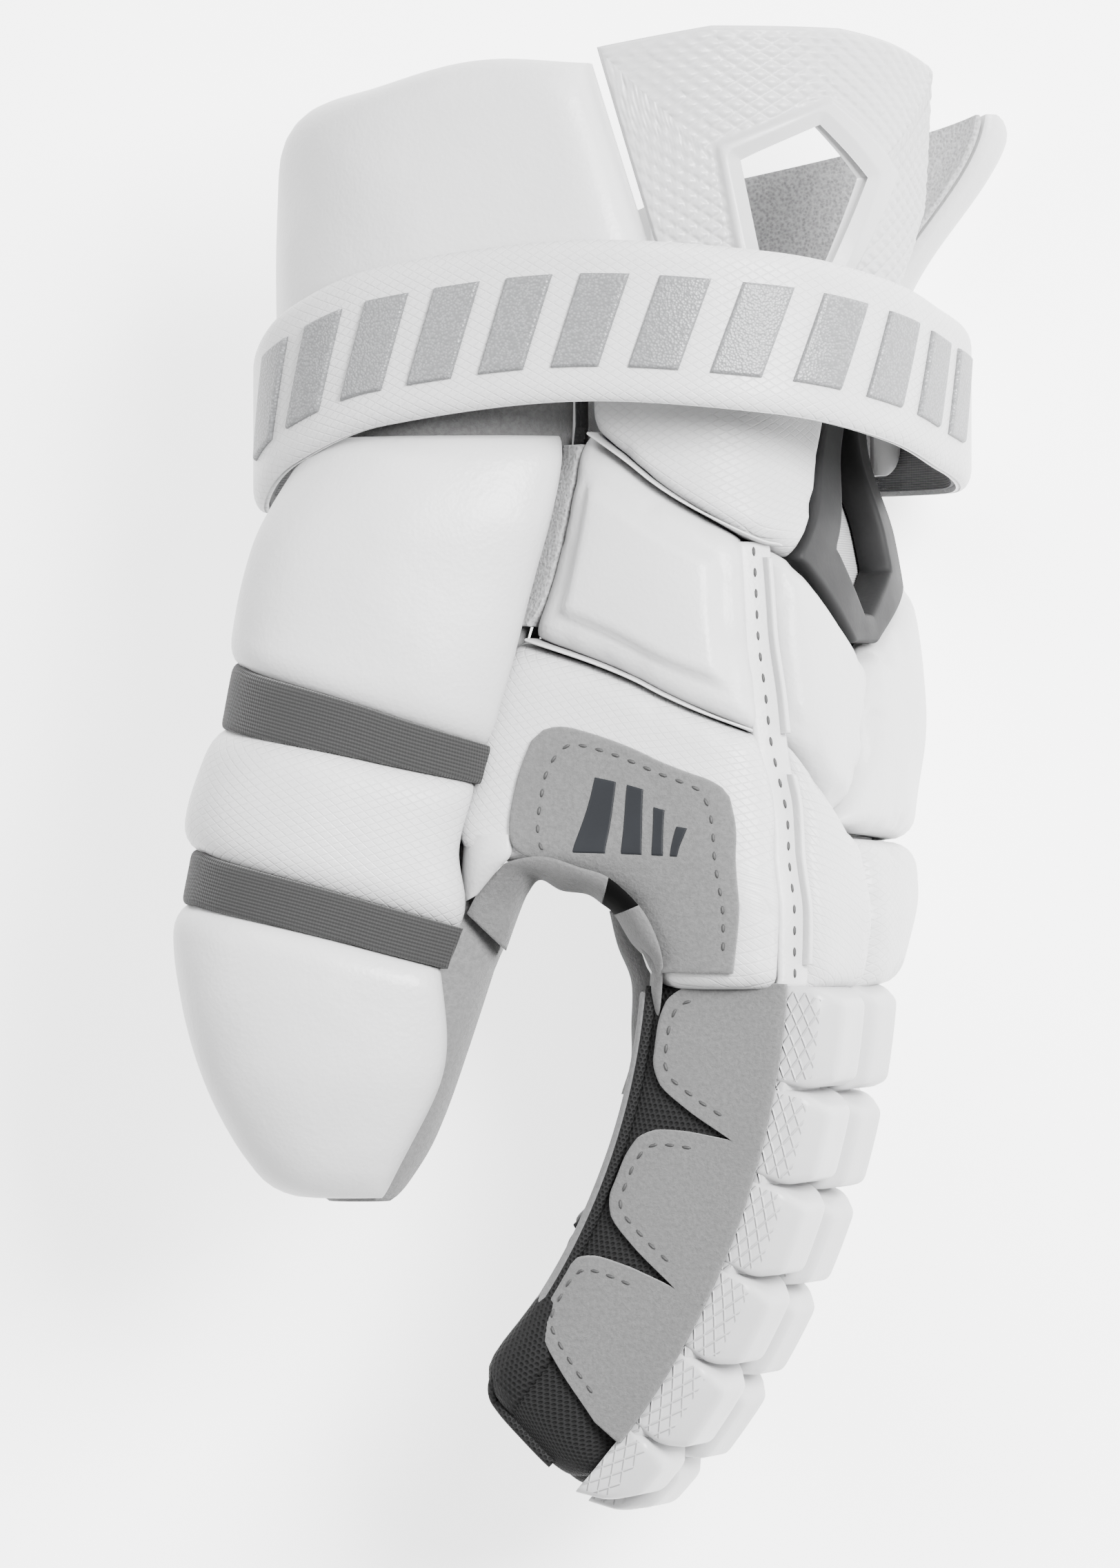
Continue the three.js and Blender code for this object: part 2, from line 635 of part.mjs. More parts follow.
const PATCH_RAILS = [
  [[0.43, 0.38], [0.424, 0.28], [0.428, 0.17], [0.445, 0.09], [0.462, 0.03]],
  [[0.547, 0.285], [0.545, 0.225], [0.537, 0.165], [0.527, 0.09], [0.516, 0.03]],
];
const patchLift = WEB_GAP + HAND_PAD + 2 * SEAM_GAP;
const patch = { ...suedeOnHand, rails: PATCH_RAILS, lift: patchLift, along: 6, across: 3 };
piece("crook_patch", pad(patch), suede);

const PALM_ATS = [0.95, 0.8, 0.66, 0.53, 0.405, 0.3, 0.235, 0.19, 0.155, 0.12, 0.07, 0.01];
const PALM_EDGES = [0.134, 0.343];
const PALM_RAILS = PALM_EDGES.map((round) => PALM_ATS.map((at) => [round, at]));
piece("palm", pad({ ...suedeOnHand, lift: PALM_GAP, rails: PALM_RAILS, along: 11, across: 5 }), suede);

const BINDING_RAILS = [
  [[0.355, 0.19], [0.354, 0.16], [0.356, 0.12], [0.36, 0.07], [0.366, 0.01]],
  [[0.394, 0.19], [0.394, 0.16], [0.398, 0.12], [0.408, 0.07], [0.415, 0.01]],
];
const binding = { rails: BINDING_RAILS, along: 5, across: 0, lift: WEB_GAP, thickness: BINDING, edge: 0.6, rounding: 2 };
piece("crook_binding", pad({ surface: onHand, ...binding }), suede);

// Thumb
const THUMB_SIDES = 18;
const THUMB_ATS = [1, 0.88, 0.72, 0.56, 0.427, 0.35, 0.26, 0.16, 0.08, 0.04, 0.012];
const thumbTube = { surface: onThumb, ats: THUMB_ATS, sides: THUMB_SIDES, wall: THUMB_WALL };
piece("thumb_body", sleeve({ ...thumbTube, tipped: true, tipWall: -THUMB_TIP_WALL / THUMB_LENGTH }), suede);

const THUMB_PADS = [
  {
    name: "thumb_pad_upper", material: leather, along: 6,
    rails: [[[0.2, 0.9], [0.2, 0.645]], [[0.3, 0.9], [0.3, 0.635]], [[0.645, 0.9], [0.65, 0.545]]],
  },
  {
    name: "thumb_band_upper", material: elastic, along: 1,
    rails: [[[0.2, 0.64], [0.2, 0.575]], [[0.3, 0.63], [0.3, 0.567]], [[0.648, 0.541], [0.648, 0.503]]],
  },
  {
    name: "thumb_pad_middle", material: leather, along: 4,
    rails: [[[0.2, 0.57], [0.2, 0.425]], [[0.3, 0.562], [0.3, 0.42]], [[0.645, 0.499], [0.615, 0.335]]],
  },
  {
    name: "thumb_band_lower", material: elastic, along: 1,
    rails: [[[0.2, 0.42], [0.2, 0.37]], [[0.3, 0.415], [0.3, 0.362]], [[0.612, 0.331], [0.607, 0.291]]],
  },
  {
    name: "thumb_pad_tip", material: leather, along: 6,
    rails: [
      [[0.2, 0.365], [0.19, 0.2], [0.16, 0.02]],
      [[0.3, 0.357], [0.3, 0.2], [0.3, 0.02]],
      [[0.605, 0.287], [0.632, 0.16], [0.64, 0.02]],
    ],
  },
];
for (const { name, rails, material, along } of THUMB_PADS) {
  const flat = material === elastic;
  const shape = { rails, along, across: 6, edge: flat ? 0.9 : 0.5, rounding: flat ? 2 : PAD_ROUND };
  const height = flat ? THUMB_PAD - BAND_SINK : THUMB_PAD;
  piece(name, pad({ surface: onThumb, ...shape, lift: flat ? BAND_GAP : THUMB_GAP, thickness: height }), material);
}

// Suede gusset that closes the gap between the thumb and the side of the hand
const GUSSET_YS = [3, 12, 22, 38, 54, 70, 86];
const GUSSET_ON_THUMB = 0.75;
const GUSSET_ON_HAND = 0.38;
const gussetNear = GUSSET_YS.map((y) => thumb(GUSSET_ON_THUMB, y, LAYER_GAP));
const gussetFar = GUSSET_YS.map((y) => hand(GUSSET_ON_HAND, y, LAYER_GAP));
const gussetSlab = (rise) => gussetNear.map((near, i) => [near, gussetFar[i]].map((point) => (
  point.clone().addScaledVector(VIEW_OUT, rise)
)));
const gusset = new Body();
const gussetFront = gussetSlab(0);
const gussetBack = gussetSlab(-GUSSET_THICKNESS);
gusset.sheet(gussetFront, false, false);
gusset.sheet(gussetBack, false, true);
gusset.wall(gussetFront[0], gussetBack[0], false);
gusset.wall(gussetBack[gussetBack.length - 1], gussetFront[gussetFront.length - 1], false);
gusset.wall(gussetBack.map((row) => row[0]), gussetFront.map((row) => row[0]), false);
gusset.wall(gussetFront.map((row) => row[1]), gussetBack.map((row) => row[1]), false);
piece("thumb_gusset", gusset.geometry(), suede);

// Fingers
const FINGER_SIDES = 12;
const FINGER_ATS = [0, 0.25, 0.5, 0.75, 0.93, 1];
const PALM_STRIP_RAILS = [[[0.15, 0.03], [0.15, 0.89]], [[0.35, 0.03], [0.35, 0.89]]];
const PALM_STRIP_ROWS = 6;
const BLOCK_SHOULDER = 0.45;
const BLOCK_TOP = 0.64;

// Moulded strip on the back of a finger: a thin base with six bevelled blocks.
function armour(finger, block) {
  const half = FINGER_WIDTH / 2 - BLOCK_INSET;
  const foot = finger.depth + LAYER_GAP;
  const profile = (at, height) => {
    const sides = [
      [0, -1], [BLOCK_SHOULDER * height, -1], [height, -BLOCK_TOP],
      [height, BLOCK_TOP], [BLOCK_SHOULDER * height, 1], [0, 1],
    ];
    return sides.map(([up, side]) => finger.place(at * finger.length, foot + up, side * half));
  };
  const pitch = 1 / BLOCK_COUNT;
  const bevel = BLOCK_BEVEL / finger.length;
  const groove = BLOCK_GROOVE / finger.length / 2;
  const rings = [];
  for (let i = 0; i < BLOCK_COUNT; i++) {
    const last = i === BLOCK_COUNT - 1;
    const height = BLOCK_HEIGHT * block * (last ? TIP_BLOCK_SHARE : 1);
    rings.push(profile(i * pitch + groove, ARMOUR_BASE));
    rings.push(profile(i * pitch + groove + bevel, height));
    rings.push(profile((i + 1) * pitch - groove - bevel * (last ? 2 : 1), height));
    rings.push(profile((i + 1) * pitch - groove, ARMOUR_BASE));
  }
  const body = new Body();
  body.sheet(rings, true, false);
  body.lid(rings[0], true);
  body.lid(rings[rings.length - 1], false);
  return body.geometry();
}

FINGERS.forEach(({ block }, index) => {
  const finger = fingerSurface(index);
  const number = index + 1;
  const tube = { surface: finger.surface, ats: FINGER_ATS, sides: FINGER_SIDES, wall: FINGER_WALL };
  const tipWall = FINGER_WALL / finger.length;
  piece(`finger_stall_${number}`, sleeve({ ...tube, tipped: true, tipWall }), mesh);
  const strip = { rails: PALM_STRIP_RAILS, along: PALM_STRIP_ROWS, across: 0 };
  const skin = { lift: 2 * SEAM_GAP, thickness: SUEDE, edge: 1, rounding: 2 * SUEDE };
  piece(`finger_palm_${number}`, pad({ surface: finger.surface, ...skin, ...strip }), suede);
  piece(`finger_armour_${number}`, armour(finger, block), moulded);
});

// Side flap of the index finger: three lobes, each full at its root end and slanting back to a notch.
const LOBE = [
  { at: 0.0, reach: 0.62 },
  { at: 0.2, reach: 0.9 },
  { at: 0.45, reach: 1.0 },
  { at: 0.65, reach: 1.0 },
  { at: 0.82, reach: 0.84 },
  { at: 1.0, reach: 0.27 },
];
const LOBE_COUNT = 3;
const FLAP_SEAM = 0.615;
const FLAP_REACH = 0.235;
const FLAP_END = 0.93;
const LOBE_STEPS = 6;
const flapSeam = [];
const flapLobes = [];
for (let i = 0; i < LOBE_COUNT * LOBE_STEPS; i++) {
  const at = lerp(0.01, FLAP_END, i / (LOBE_COUNT * LOBE_STEPS - 1));
  const phase = (i % LOBE_STEPS) / (LOBE_STEPS - 1);
  flapSeam.push([FLAP_SEAM, at]);
  flapLobes.push([FLAP_SEAM - FLAP_REACH * column(LOBE, "reach", phase), at]);
}
const flap = { rails: [flapSeam, flapLobes], along: 17, across: 0, lift: SEAM_GAP, thickness: SUEDE };
piece("index_flap", pad({ surface: fingerSurface(0).surface, ...flap, edge: 1, rounding: 1 }), suede);

// Wrist insert: a dark frame round the lower half of a long kite opening, its two ends under the strap.
const INSERT_OUTSIDE = [[0.725, 0.86], [0.619, 0.622], [0.69, 0.497], [0.75, 0.497], [0.868, 0.586], [0.862, 0.86]];
const INSERT_INSIDE = [[0.789, 0.86], [0.678, 0.638], [0.722, 0.541], [0.742, 0.541], [0.812, 0.61], [0.806, 0.86]];
piece("wrist_insert", pad({
  surface: onHand, rails: [INSERT_OUTSIDE, INSERT_INSIDE],
  along: 13, across: 1, lift: SEAM_GAP, thickness: INSERT_DEPTH, edge: 0.8, rounding: 1.5,
}), plastic);

// Cuff plate: thin, with a raised rim round the upper half of the kite.
const kite = (points) => points.map(([x, y]) => [KITE_X + x * KITE_WIDTH, KITE_FOOT_Y + y * KITE_HEIGHT]);
const KITE_HOLE = kite([[0.12, 1], [-0.5, 0.82], [-0.35, 0.36], [-0.21, 0], [-0.02, 0], [0.2, 0.3], [0.5, 0.75]]);
const KITE_RIM = kite([
  [0.2, 1.13], [-0.69, 0.89], [-0.53, 0.36], [-0.345, -0.085], [0.115, -0.085], [0.38, 0.27], [0.74, 0.8],
]);
const SHELL_RAILS = [
  [[0.598, 0.24], [0.62, 0.24], [0.645, 0.24], [0.67, 0.23], [0.69, 0.23]],
  [[0.5734, 0.6], [0.62, 0.6], [0.67, 0.6], [0.725, 0.6], [0.77, 0.6]],
  [[0.5485, 0.965], [0.6, 1.0], [0.676, 1.0], [0.74, 0.97], [0.788, 0.945]],
];
const shellShape = { surface: onCuff, rails: SHELL_RAILS, along: 8, across: 3, edge: 1, rounding: 2 };
const plate = toSolid(pad({ ...shellShape, lift: 0, thickness: CUFF_SHELL }));
const rimSlab = toSolid(pad({ ...shellShape, lift: CUFF_SHELL / 2, thickness: CUFF_SHELL / 2 + CUFF_RIM }));
const shell = plate.add(rimSlab.intersect(viewPrism(KITE_RIM))).subtract(viewPrism(KITE_HOLE));
piece("cuff_shell", toGeometry(shell), moulded);

// Padded cuff panels
const THUMB_SIDE_RAILS = [
  [[0.2, 0.17], [0.27, 0.16], [0.315, 0.16], [0.35, 0.285], [0.45, 0.285], [0.5925, 0.285]],
  [[0.2, 0.4], [0.27, 0.62], [0.33, 0.82], [0.4, 0.89], [0.47, 0.94], [0.549, 0.92]],
];
const THUMB_SIDE_ROWS = 8;
const THUMB_SIDE_ROUND = 8;
const thumbSide = { surface: onCuff, rails: THUMB_SIDE_RAILS, along: THUMB_SIDE_ROWS, across: 4, lift: 0 };
const thumbSideShape = { thickness: CUFF_THUMB_PAD, edge: 0.4, rounding: THUMB_SIDE_ROUND };
piece("cuff_pad_thumb", pad({ ...thumbSide, ...thumbSideShape }), leather);

const PALM_SIDE_RAILS = [[[0.035, 0.0], [0.192, 0.0]], [[0.035, 0.66], [0.192, 0.4]]];
const palmSide = { surface: onCuff, rails: PALM_SIDE_RAILS, along: 6, across: 3, lift: 0 };
piece("cuff_pad_palm", pad({ ...palmSide, thickness: CUFF_PANEL }), leather);

const LITTLE_RAILS = [[[0.858, 0.0], [1.01, 0.0]], [[0.858, 0.845], [1.01, 0.72]]];
const littleSide = { surface: onLeaningPanel, rails: LITTLE_RAILS, along: 5, across: 4 };
const fleeceShape = { ...littleSide, lift: 0, thickness: FLEECE, edge: 1, rounding: 1 };
piece("cuff_fleece", pad(fleeceShape), lining);
const littleLift = FLEECE + LAYER_GAP;
piece("cuff_pad_little", pad({ ...littleSide, lift: littleLift, thickness: CUFF_PANEL - littleLift }), leather);

// Strap: a closed ring with rounded edges, its lining, and slanted raised bars on its front.
const STRAP_SIDES = 32;

function strapRingBody({ ats, outerLift, innerLift }) {
  const ring = (at, lift) => Array.from({ length: STRAP_SIDES }, (_, j) => onStrap(j / STRAP_SIDES, at, lift));
  const outer = ats.map((at, i) => ring(at, outerLift[i]));
  const inner = [ats[0], ats[ats.length - 1]].map((at) => ring(at, innerLift));
  const body = new Body();
  body.sheet(outer, true, false);
  body.sheet(inner, true, true);
  body.wall(outer[0], inner[0], true);
  body.wall(inner[1], outer[outer.length - 1], true);
  return body.geometry();
}

const strapFoot = STRAP_LINING + STRAP_CLEARANCE;
const strapTop = strapFoot + STRAP_THICKNESS;
const strapEdge = strapFoot + 0.4 * STRAP_THICKNESS;
const strapAts = [0.5, 0.4, -0.4, -0.5];
const strapLifts = [strapEdge, strapTop, strapTop, strapEdge];
piece("strap", strapRingBody({ ats: strapAts, outerLift: strapLifts, innerLift: strapFoot }), leather);
const liningAts = [0.47, -0.47];
const liningLifts = [STRAP_LINING, STRAP_LINING];
piece("strap_lining", strapRingBody({ ats: liningAts, outerLift: liningLifts, innerLift: 0 }), lining);

const BAR_FROM = 0.335;
const BAR_TO = 0.79;
const BAR_SHARE = 0.62;
const BAR_SLANT = 0.4;
const barPitch = (BAR_TO - BAR_FROM) / BAR_COUNT;
const barHalf = BAR_HEIGHT / STRAP_WIDTH / 2;
for (let i = 0; i < BAR_COUNT; i++) {
  const from = BAR_FROM + i * barPitch;
  const to = from + BAR_SHARE * barPitch;
  const slant = BAR_SLANT * barPitch;
  const rails = [[[from, -barHalf], [from + slant, barHalf]], [[to, -barHalf], [to + slant, barHalf]]];
  const bar = { rails, along: 0, across: 0, lift: strapTop + LAYER_GAP, thickness: BAR_RELIEF, edge: 1 };
  piece(`strap_bar_${i + 1}`, pad({ surface: onStrap, ...bar }), print);
}

// The origin is under the middle of the glove, on the surface that it lies on.
const box = new THREE.Box3().setFromObject(glove);
const middle = box.getCenter(new THREE.Vector3());
glove.position.set(-middle.x, -middle.y, -box.min.z);

export default glove;
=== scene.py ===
import math

import bmesh
import bpy
import numpy as np
from mathutils import Matrix, Vector, noise


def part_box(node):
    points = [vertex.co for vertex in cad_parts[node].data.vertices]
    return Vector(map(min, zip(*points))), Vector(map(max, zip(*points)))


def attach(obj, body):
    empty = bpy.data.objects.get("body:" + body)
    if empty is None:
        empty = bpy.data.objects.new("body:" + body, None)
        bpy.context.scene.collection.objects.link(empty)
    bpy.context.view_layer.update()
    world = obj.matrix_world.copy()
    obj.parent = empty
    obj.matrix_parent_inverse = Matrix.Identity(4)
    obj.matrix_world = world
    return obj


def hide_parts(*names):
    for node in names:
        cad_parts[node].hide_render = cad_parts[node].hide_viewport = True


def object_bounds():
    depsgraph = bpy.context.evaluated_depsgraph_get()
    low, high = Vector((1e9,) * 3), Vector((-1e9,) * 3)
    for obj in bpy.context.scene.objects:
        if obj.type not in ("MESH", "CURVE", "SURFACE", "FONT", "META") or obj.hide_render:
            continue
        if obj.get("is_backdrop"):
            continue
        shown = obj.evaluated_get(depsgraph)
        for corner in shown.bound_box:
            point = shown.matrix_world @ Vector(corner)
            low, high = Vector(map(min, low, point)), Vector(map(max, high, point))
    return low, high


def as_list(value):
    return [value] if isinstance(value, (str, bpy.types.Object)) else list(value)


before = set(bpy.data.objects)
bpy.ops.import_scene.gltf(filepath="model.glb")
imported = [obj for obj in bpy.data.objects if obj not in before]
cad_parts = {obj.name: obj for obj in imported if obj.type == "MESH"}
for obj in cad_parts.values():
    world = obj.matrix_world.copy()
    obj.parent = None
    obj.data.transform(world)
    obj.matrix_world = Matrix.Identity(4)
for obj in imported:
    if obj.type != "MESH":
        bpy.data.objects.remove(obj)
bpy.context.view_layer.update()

# A lacrosse glove for a left hand, lying on its little finger side. Lengths here are in
# millimetres and become metres in the meshes. +X is out of the back of the hand, +Y is
# towards the cuff and +Z is up, out of the thumb side.

# Hand
HAND_LENGTH = 161.0
HAND_DEPTH = 54.0
HAND_WIDTH = 94.0
KNUCKLE_Y = -46.0
WEB_REACH = 34.0
WEB_SPREAD = 26.0
WEB_TURN = 132.0
KNUCKLE_ARCH = 17.0
ARCH_TOP = 0.66
ARCH_POWER = 1.3
HAND_SQUARENESS = 3.0
HAND_PAD = 9.5
SEAM_GAP = 0.9
WEB_GAP = 2.8
PALM_GAP = 2.6
SUEDE = 1.4

# Thumb
THUMB_LENGTH = 206.0
THUMB_WIDTH = 60.4
THUMB_DEPTH = 41.0
THUMB_TOP_Y = 103.0
THUMB_ACROSS = -81.0
THUMB_OUT = 72.4
THUMB_SQUARENESS = 2.5
THUMB_GAP = 1.8
THUMB_PAD = 8.5

# Fingers
FINGER_WIDTH = 25.0
FINGER_DEPTH = 36.0
FINGER_PITCH = 25.35
FIRST_FINGER_DROP = 9.0
ROOT_OFFSET = 0.6
ROOT_GAP = 0.3
FINGER_ROUNDING = 9.0
FINGER_TIP_SHARE = 0.62
FINGER_SQUARENESS = 3.6
BLOCK_COUNT = 6
BLOCK_HEIGHT = 14.0

# Cuff and strap
CUFF_WIDTH = 144.0
CUFF_DEPTH = 106.0
CUFF_X = -21.2
CUFF_THUMB_PAD = 11.5
CUFF_PANEL = 10.0
CUFF_SHELL = 3.2
CUFF_RIM = 2.2
CUFF_BASE_Y = 76.0
CUFF_LENGTH = 103.0
CUFF_SQUARENESS = 2.6
LAYER_GAP = 0.6
FLEECE = 2.6
LEAN_IN = 9.0
LEAN_OUT = 20.0
LEAN_FROM = 0.33
LEAN_TO = 0.86
STRAP_WIDTH = 38.0
STRAP_THICKNESS = 3.8
STRAP_LINING = 0.9
STRAP_CLEARANCE = 0.3
STRAP_Y = 90.0
STRAP_RISE = 19.0

VIEW_TURN = math.radians(22)
ACROSS = np.array([math.cos(VIEW_TURN), 0.0, -math.sin(VIEW_TURN)])
TOWARD = np.array([math.sin(VIEW_TURN), 0.0, math.cos(VIEW_TURN)])
UP = np.array([0.0, 1.0, 0.0])
HAND_LOW = HAND_PAD
SECTION_POINTS = 360
ROUND_STEPS = 720
CUFF_LOW = STRAP_THICKNESS + CUFF_PANEL + LAYER_GAP
THUMB_TIP_Y = THUMB_TOP_Y - THUMB_LENGTH

HAND_SECTIONS = {
    "at": [0.0, 0.1, 0.15, 0.19, 0.285, 0.405, 0.52, 0.66, 0.795, 1.0],
    "palm": [0.09, -0.055, -0.15, -0.22, -0.35, -0.44, -0.5, -0.5, -0.5, -0.52],
    "back": [0.67, 0.69, 0.67, 0.65, 0.62, 0.61, 0.58, 0.52, 0.42, 0.38],
    "low": [0.0, 0.0, 0.0, 0.0, 0.0, 0.0, 0.02, 0.05, 0.125, 0.155],
    "high": [1.0, 1.0, 1.0, 1.0, 1.0, 0.99, 0.98, 0.96, 0.925, 0.9],
    "web": [0.0, 0.0, 0.4, 1.0, 0.79, 0.59, 0.29, 0.12, 0.0, 0.0],
    "arch": [1.0, 0.76, 0.6, 0.47, 0.24, 0.06, 0.0, 0.0, 0.0, 0.0],
}
THUMB_SECTIONS = {
    "at": [0.0, 0.015, 0.044, 0.085, 0.177, 0.279, 0.35, 0.427, 0.537, 0.665, 0.777, 0.906, 1.0],
    "lean": [
        -0.136, -0.136, -0.137, -0.138, -0.14, -0.136, -0.127, -0.139, -0.119, -0.087, -0.056, -0.013, 0.0,
    ],
    "half": [0.04, 0.14, 0.225, 0.31, 0.435, 0.535, 0.59, 0.508, 0.48, 0.5, 0.5, 0.43, 0.39],
    "sink": [0.11, 0.11, 0.09, 0.07, 0.045, 0.03, 0.02, 0.02, 0.01, 0.0, 0.0, 0.01, 0.03],
    "deep": [0.06, 0.19, 0.27, 0.33, 0.42, 0.455, 0.465, 0.48, 0.49, 0.5, 0.5, 0.42, 0.36],
}
STRAP_PATH = {
    "at": [0.0, 0.2, 0.3, 0.37, 0.43, 0.54, 0.63, 0.7, 0.76, 0.84, 1.0],
    "rise": [0.0, -0.1, -0.26, 0.3, 0.74, 1.0, 0.84, 0.53, 0.22, 0.0, 0.0],
}
FINGERS = [
    {"root_x": 0.81, "length": 122.0, "start": 4.0, "end": 44.0, "girth": 1.0, "block": 1.0},
    {"root_x": 0.79, "length": 128.0, "start": 4.0, "end": 47.0, "girth": 1.0, "block": 1.0},
    {"root_x": 0.64, "length": 116.0, "start": 6.0, "end": 52.0, "girth": 0.9, "block": 0.82},
    {"root_x": 0.47, "length": 94.0, "start": 6.0, "end": 55.0, "girth": 0.8, "block": 0.75},
]


def column(table, key, at):
    """Smooth curve through one column of a table, with no overshoot between its rows."""
    xs = np.array(table["at"])
    ys = np.array(table[key])
    slopes = np.diff(ys) / np.diff(xs)
    tangents = np.zeros(len(xs))
    tangents[0] = slopes[0]
    tangents[-1] = slopes[-1]
    before, after = slopes[:-1], slopes[1:]
    same = before * after > 0
    total = np.where(same, before + after, 1.0)
    tangents[1:-1] = np.where(same, 2 * before * after / total, 0.0)
    at = np.asarray(at, float)
    k = np.clip(np.searchsorted(xs, at, side="right"), 1, len(xs) - 1)
    span = xs[k] - xs[k - 1]
    f = np.clip((at - xs[k - 1]) / span, 0, 1)
    g = 1 - f
    ends = ys[k - 1] * (1 + 2 * f) * g * g + ys[k] * f * f * (3 - 2 * f)
    return ends + span * tangents[k - 1] * f * g * g - span * tangents[k] * f * f * g


def eased(share):
    """Smooth step from 0 to 1."""
    return share * share * (3 - 2 * share)


def signed_power(value, share):
    return np.sign(value) * np.abs(value) ** share


def rounded_section(cx, cz, half_x, half_z, squareness):
    """Points of a rounded rectangle, their turns in degrees and their shares of the way round."""
    turn = 2 * math.pi * np.arange(SECTION_POINTS) / SECTION_POINTS
    x = cx - half_x * signed_power(np.sin(turn), 2 / squareness)
    z = cz - half_z * signed_power(np.cos(turn), 2 / squareness)
    step = np.hypot(np.roll(x, -1) - x, np.roll(z, -1) - z)
    run = np.concatenate([[0.0], np.cumsum(step)])
    return x, z, np.degrees(turn), run[:-1] / run[-1]


def rounded_box(left, right, low, high, squareness):
    return rounded_section((left + right) / 2, (low + high) / 2, (right - left) / 2, (high - low) / 2, squareness)


def hand_section(y):
    at = (y - KNUCKLE_Y) / HAND_LENGTH
    palm = HAND_DEPTH * column(HAND_SECTIONS, "palm", at)
    back = HAND_DEPTH * column(HAND_SECTIONS, "back", at)
    low = HAND_LOW + HAND_WIDTH * column(HAND_SECTIONS, "low", at)
    high = HAND_LOW + HAND_WIDTH * column(HAND_SECTIONS, "high", at)
    web = WEB_REACH * column(HAND_SECTIONS, "web", at)
    arch = KNUCKLE_ARCH * column(HAND_SECTIONS, "arch", at)
    x, z, turn, share = rounded_box(palm, back, low, high, HAND_SQUARENESS)
    reach = web * np.exp(-(((turn - WEB_TURN) / WEB_SPREAD) ** 2))
    x = x - reach * ACROSS[0]
    z = z - reach * ACROSS[2]
    arch_top = HAND_LOW + ARCH_TOP * HAND_WIDTH
    sunk = np.clip((arch_top - z) / (arch_top - HAND_LOW), 0, 1)
    return x - arch * sunk ** ARCH_POWER, z, share


def thumb_section(y):
    at = (y - THUMB_TIP_Y) / THUMB_LENGTH
    across = THUMB_ACROSS + THUMB_LENGTH * column(THUMB_SECTIONS, "lean", at)
    out = THUMB_OUT - THUMB_DEPTH * column(THUMB_SECTIONS, "sink", at)
    half = THUMB_WIDTH * column(THUMB_SECTIONS, "half", at)
    deep = THUMB_DEPTH * column(THUMB_SECTIONS, "deep", at)
    x, z, _, share = rounded_section(0, 0, half, deep, THUMB_SQUARENESS)
    placed = [(across + x) * ACROSS[k] + (out + z) * TOWARD[k] for k in (0, 2)]
    return *placed, share


def cuff_section(_):
    middle_z = CUFF_LOW + CUFF_DEPTH / 2
    x, z, _, share = rounded_section(CUFF_X, middle_z, CUFF_WIDTH / 2, CUFF_DEPTH / 2, CUFF_SQUARENESS)
    return x, z, share


def strap_section(_):
    over_pad = CUFF_THUMB_PAD + LAYER_GAP
    over_plate = CUFF_SHELL + CUFF_RIM + LAYER_GAP
    over_panel = CUFF_PANEL + LAYER_GAP
    left = CUFF_X - CUFF_WIDTH / 2 - over_pad
    right = CUFF_X + CUFF_WIDTH / 2 + over_plate
    low = CUFF_LOW - over_panel
    high = CUFF_LOW + CUFF_DEPTH + over_pad
    x, z, _, share = rounded_box(left, right, low, high, CUFF_SQUARENESS)
    return x, z, share


def wound(section_at, y_from, y_to, step=1.0):
    """A surface wound round the Y axis: a function of the share of the way round, y and the lift above it."""
    count = max(2, int(round((y_to - y_from) / step)) + 1)
    ys = np.linspace(y_from, y_to, count)
    rounds = np.arange(ROUND_STEPS) / ROUND_STEPS
    rows = []
    for y in ys:
        x, z, share = section_at(y)
        dx = np.roll(x, -1) - np.roll(x, 1)
        dz = np.roll(z, -1) - np.roll(z, 1)
        length = np.hypot(dx, dz)
        columns = [x, z, -dz / length, dx / length]
        rows.append([np.interp(rounds, share, values, period=1.0) for values in columns])
    table = np.array(rows)

    def surface(turn, y, lift):
        turn, y, lift = np.broadcast_arrays(np.asarray(turn, float), np.asarray(y, float), np.asarray(lift, float))
        place = np.clip((y - y_from) / (y_to - y_from) * (count - 1), 0, count - 1.0001)
        i = place.astype(int)
        f = place - i
        spot = (turn % 1.0) * ROUND_STEPS
        j = spot.astype(int) % ROUND_STEPS
        g = spot - np.floor(spot)
        k = (j + 1) % ROUND_STEPS

        def mixed(c):
            near = table[i, c, j] * (1 - g) + table[i, c, k] * g
            far = table[i + 1, c, j] * (1 - g) + table[i + 1, c, k] * g
            return near * (1 - f) + far * f

        x, z, nx, nz = (mixed(c) for c in range(4))
        return np.stack([x + lift * nx, y, z + lift * nz], axis=-1)

    return surface


def flattened(surface):
    """The same surface, with nothing below the ground."""
    def pressed(turn, y, lift):
        points = surface(turn, y, lift)
        points[..., 2] = np.maximum(points[..., 2], 0.0)
        return points
    return pressed


hand = flattened(wound(hand_section, KNUCKLE_Y - 5, KNUCKLE_Y + HAND_LENGTH + 2))
thumb = wound(thumb_section, THUMB_TIP_Y, THUMB_TOP_Y + 1)
cuff = wound(cuff_section, 0, 1)
strap_ring = flattened(wound(strap_section, 0, 1))


def at_any_height(surface):
    """A surface whose section is the same at every y."""
    def place(turn, y, lift):
        points = surface(turn, 0.0 * np.asarray(y, float), lift)
        points[..., 1] = np.broadcast_to(y, points.shape[:-1])
        return points
    return place


cuff_any = at_any_height(cuff)
strap_any = at_any_height(strap_ring)


def on_hand(turn, at, lift):
    return hand(turn, KNUCKLE_Y + np.asarray(at) * HAND_LENGTH, lift)


def on_thumb(turn, at, lift):
    return thumb(turn, THUMB_TIP_Y + np.asarray(at) * THUMB_LENGTH, lift)


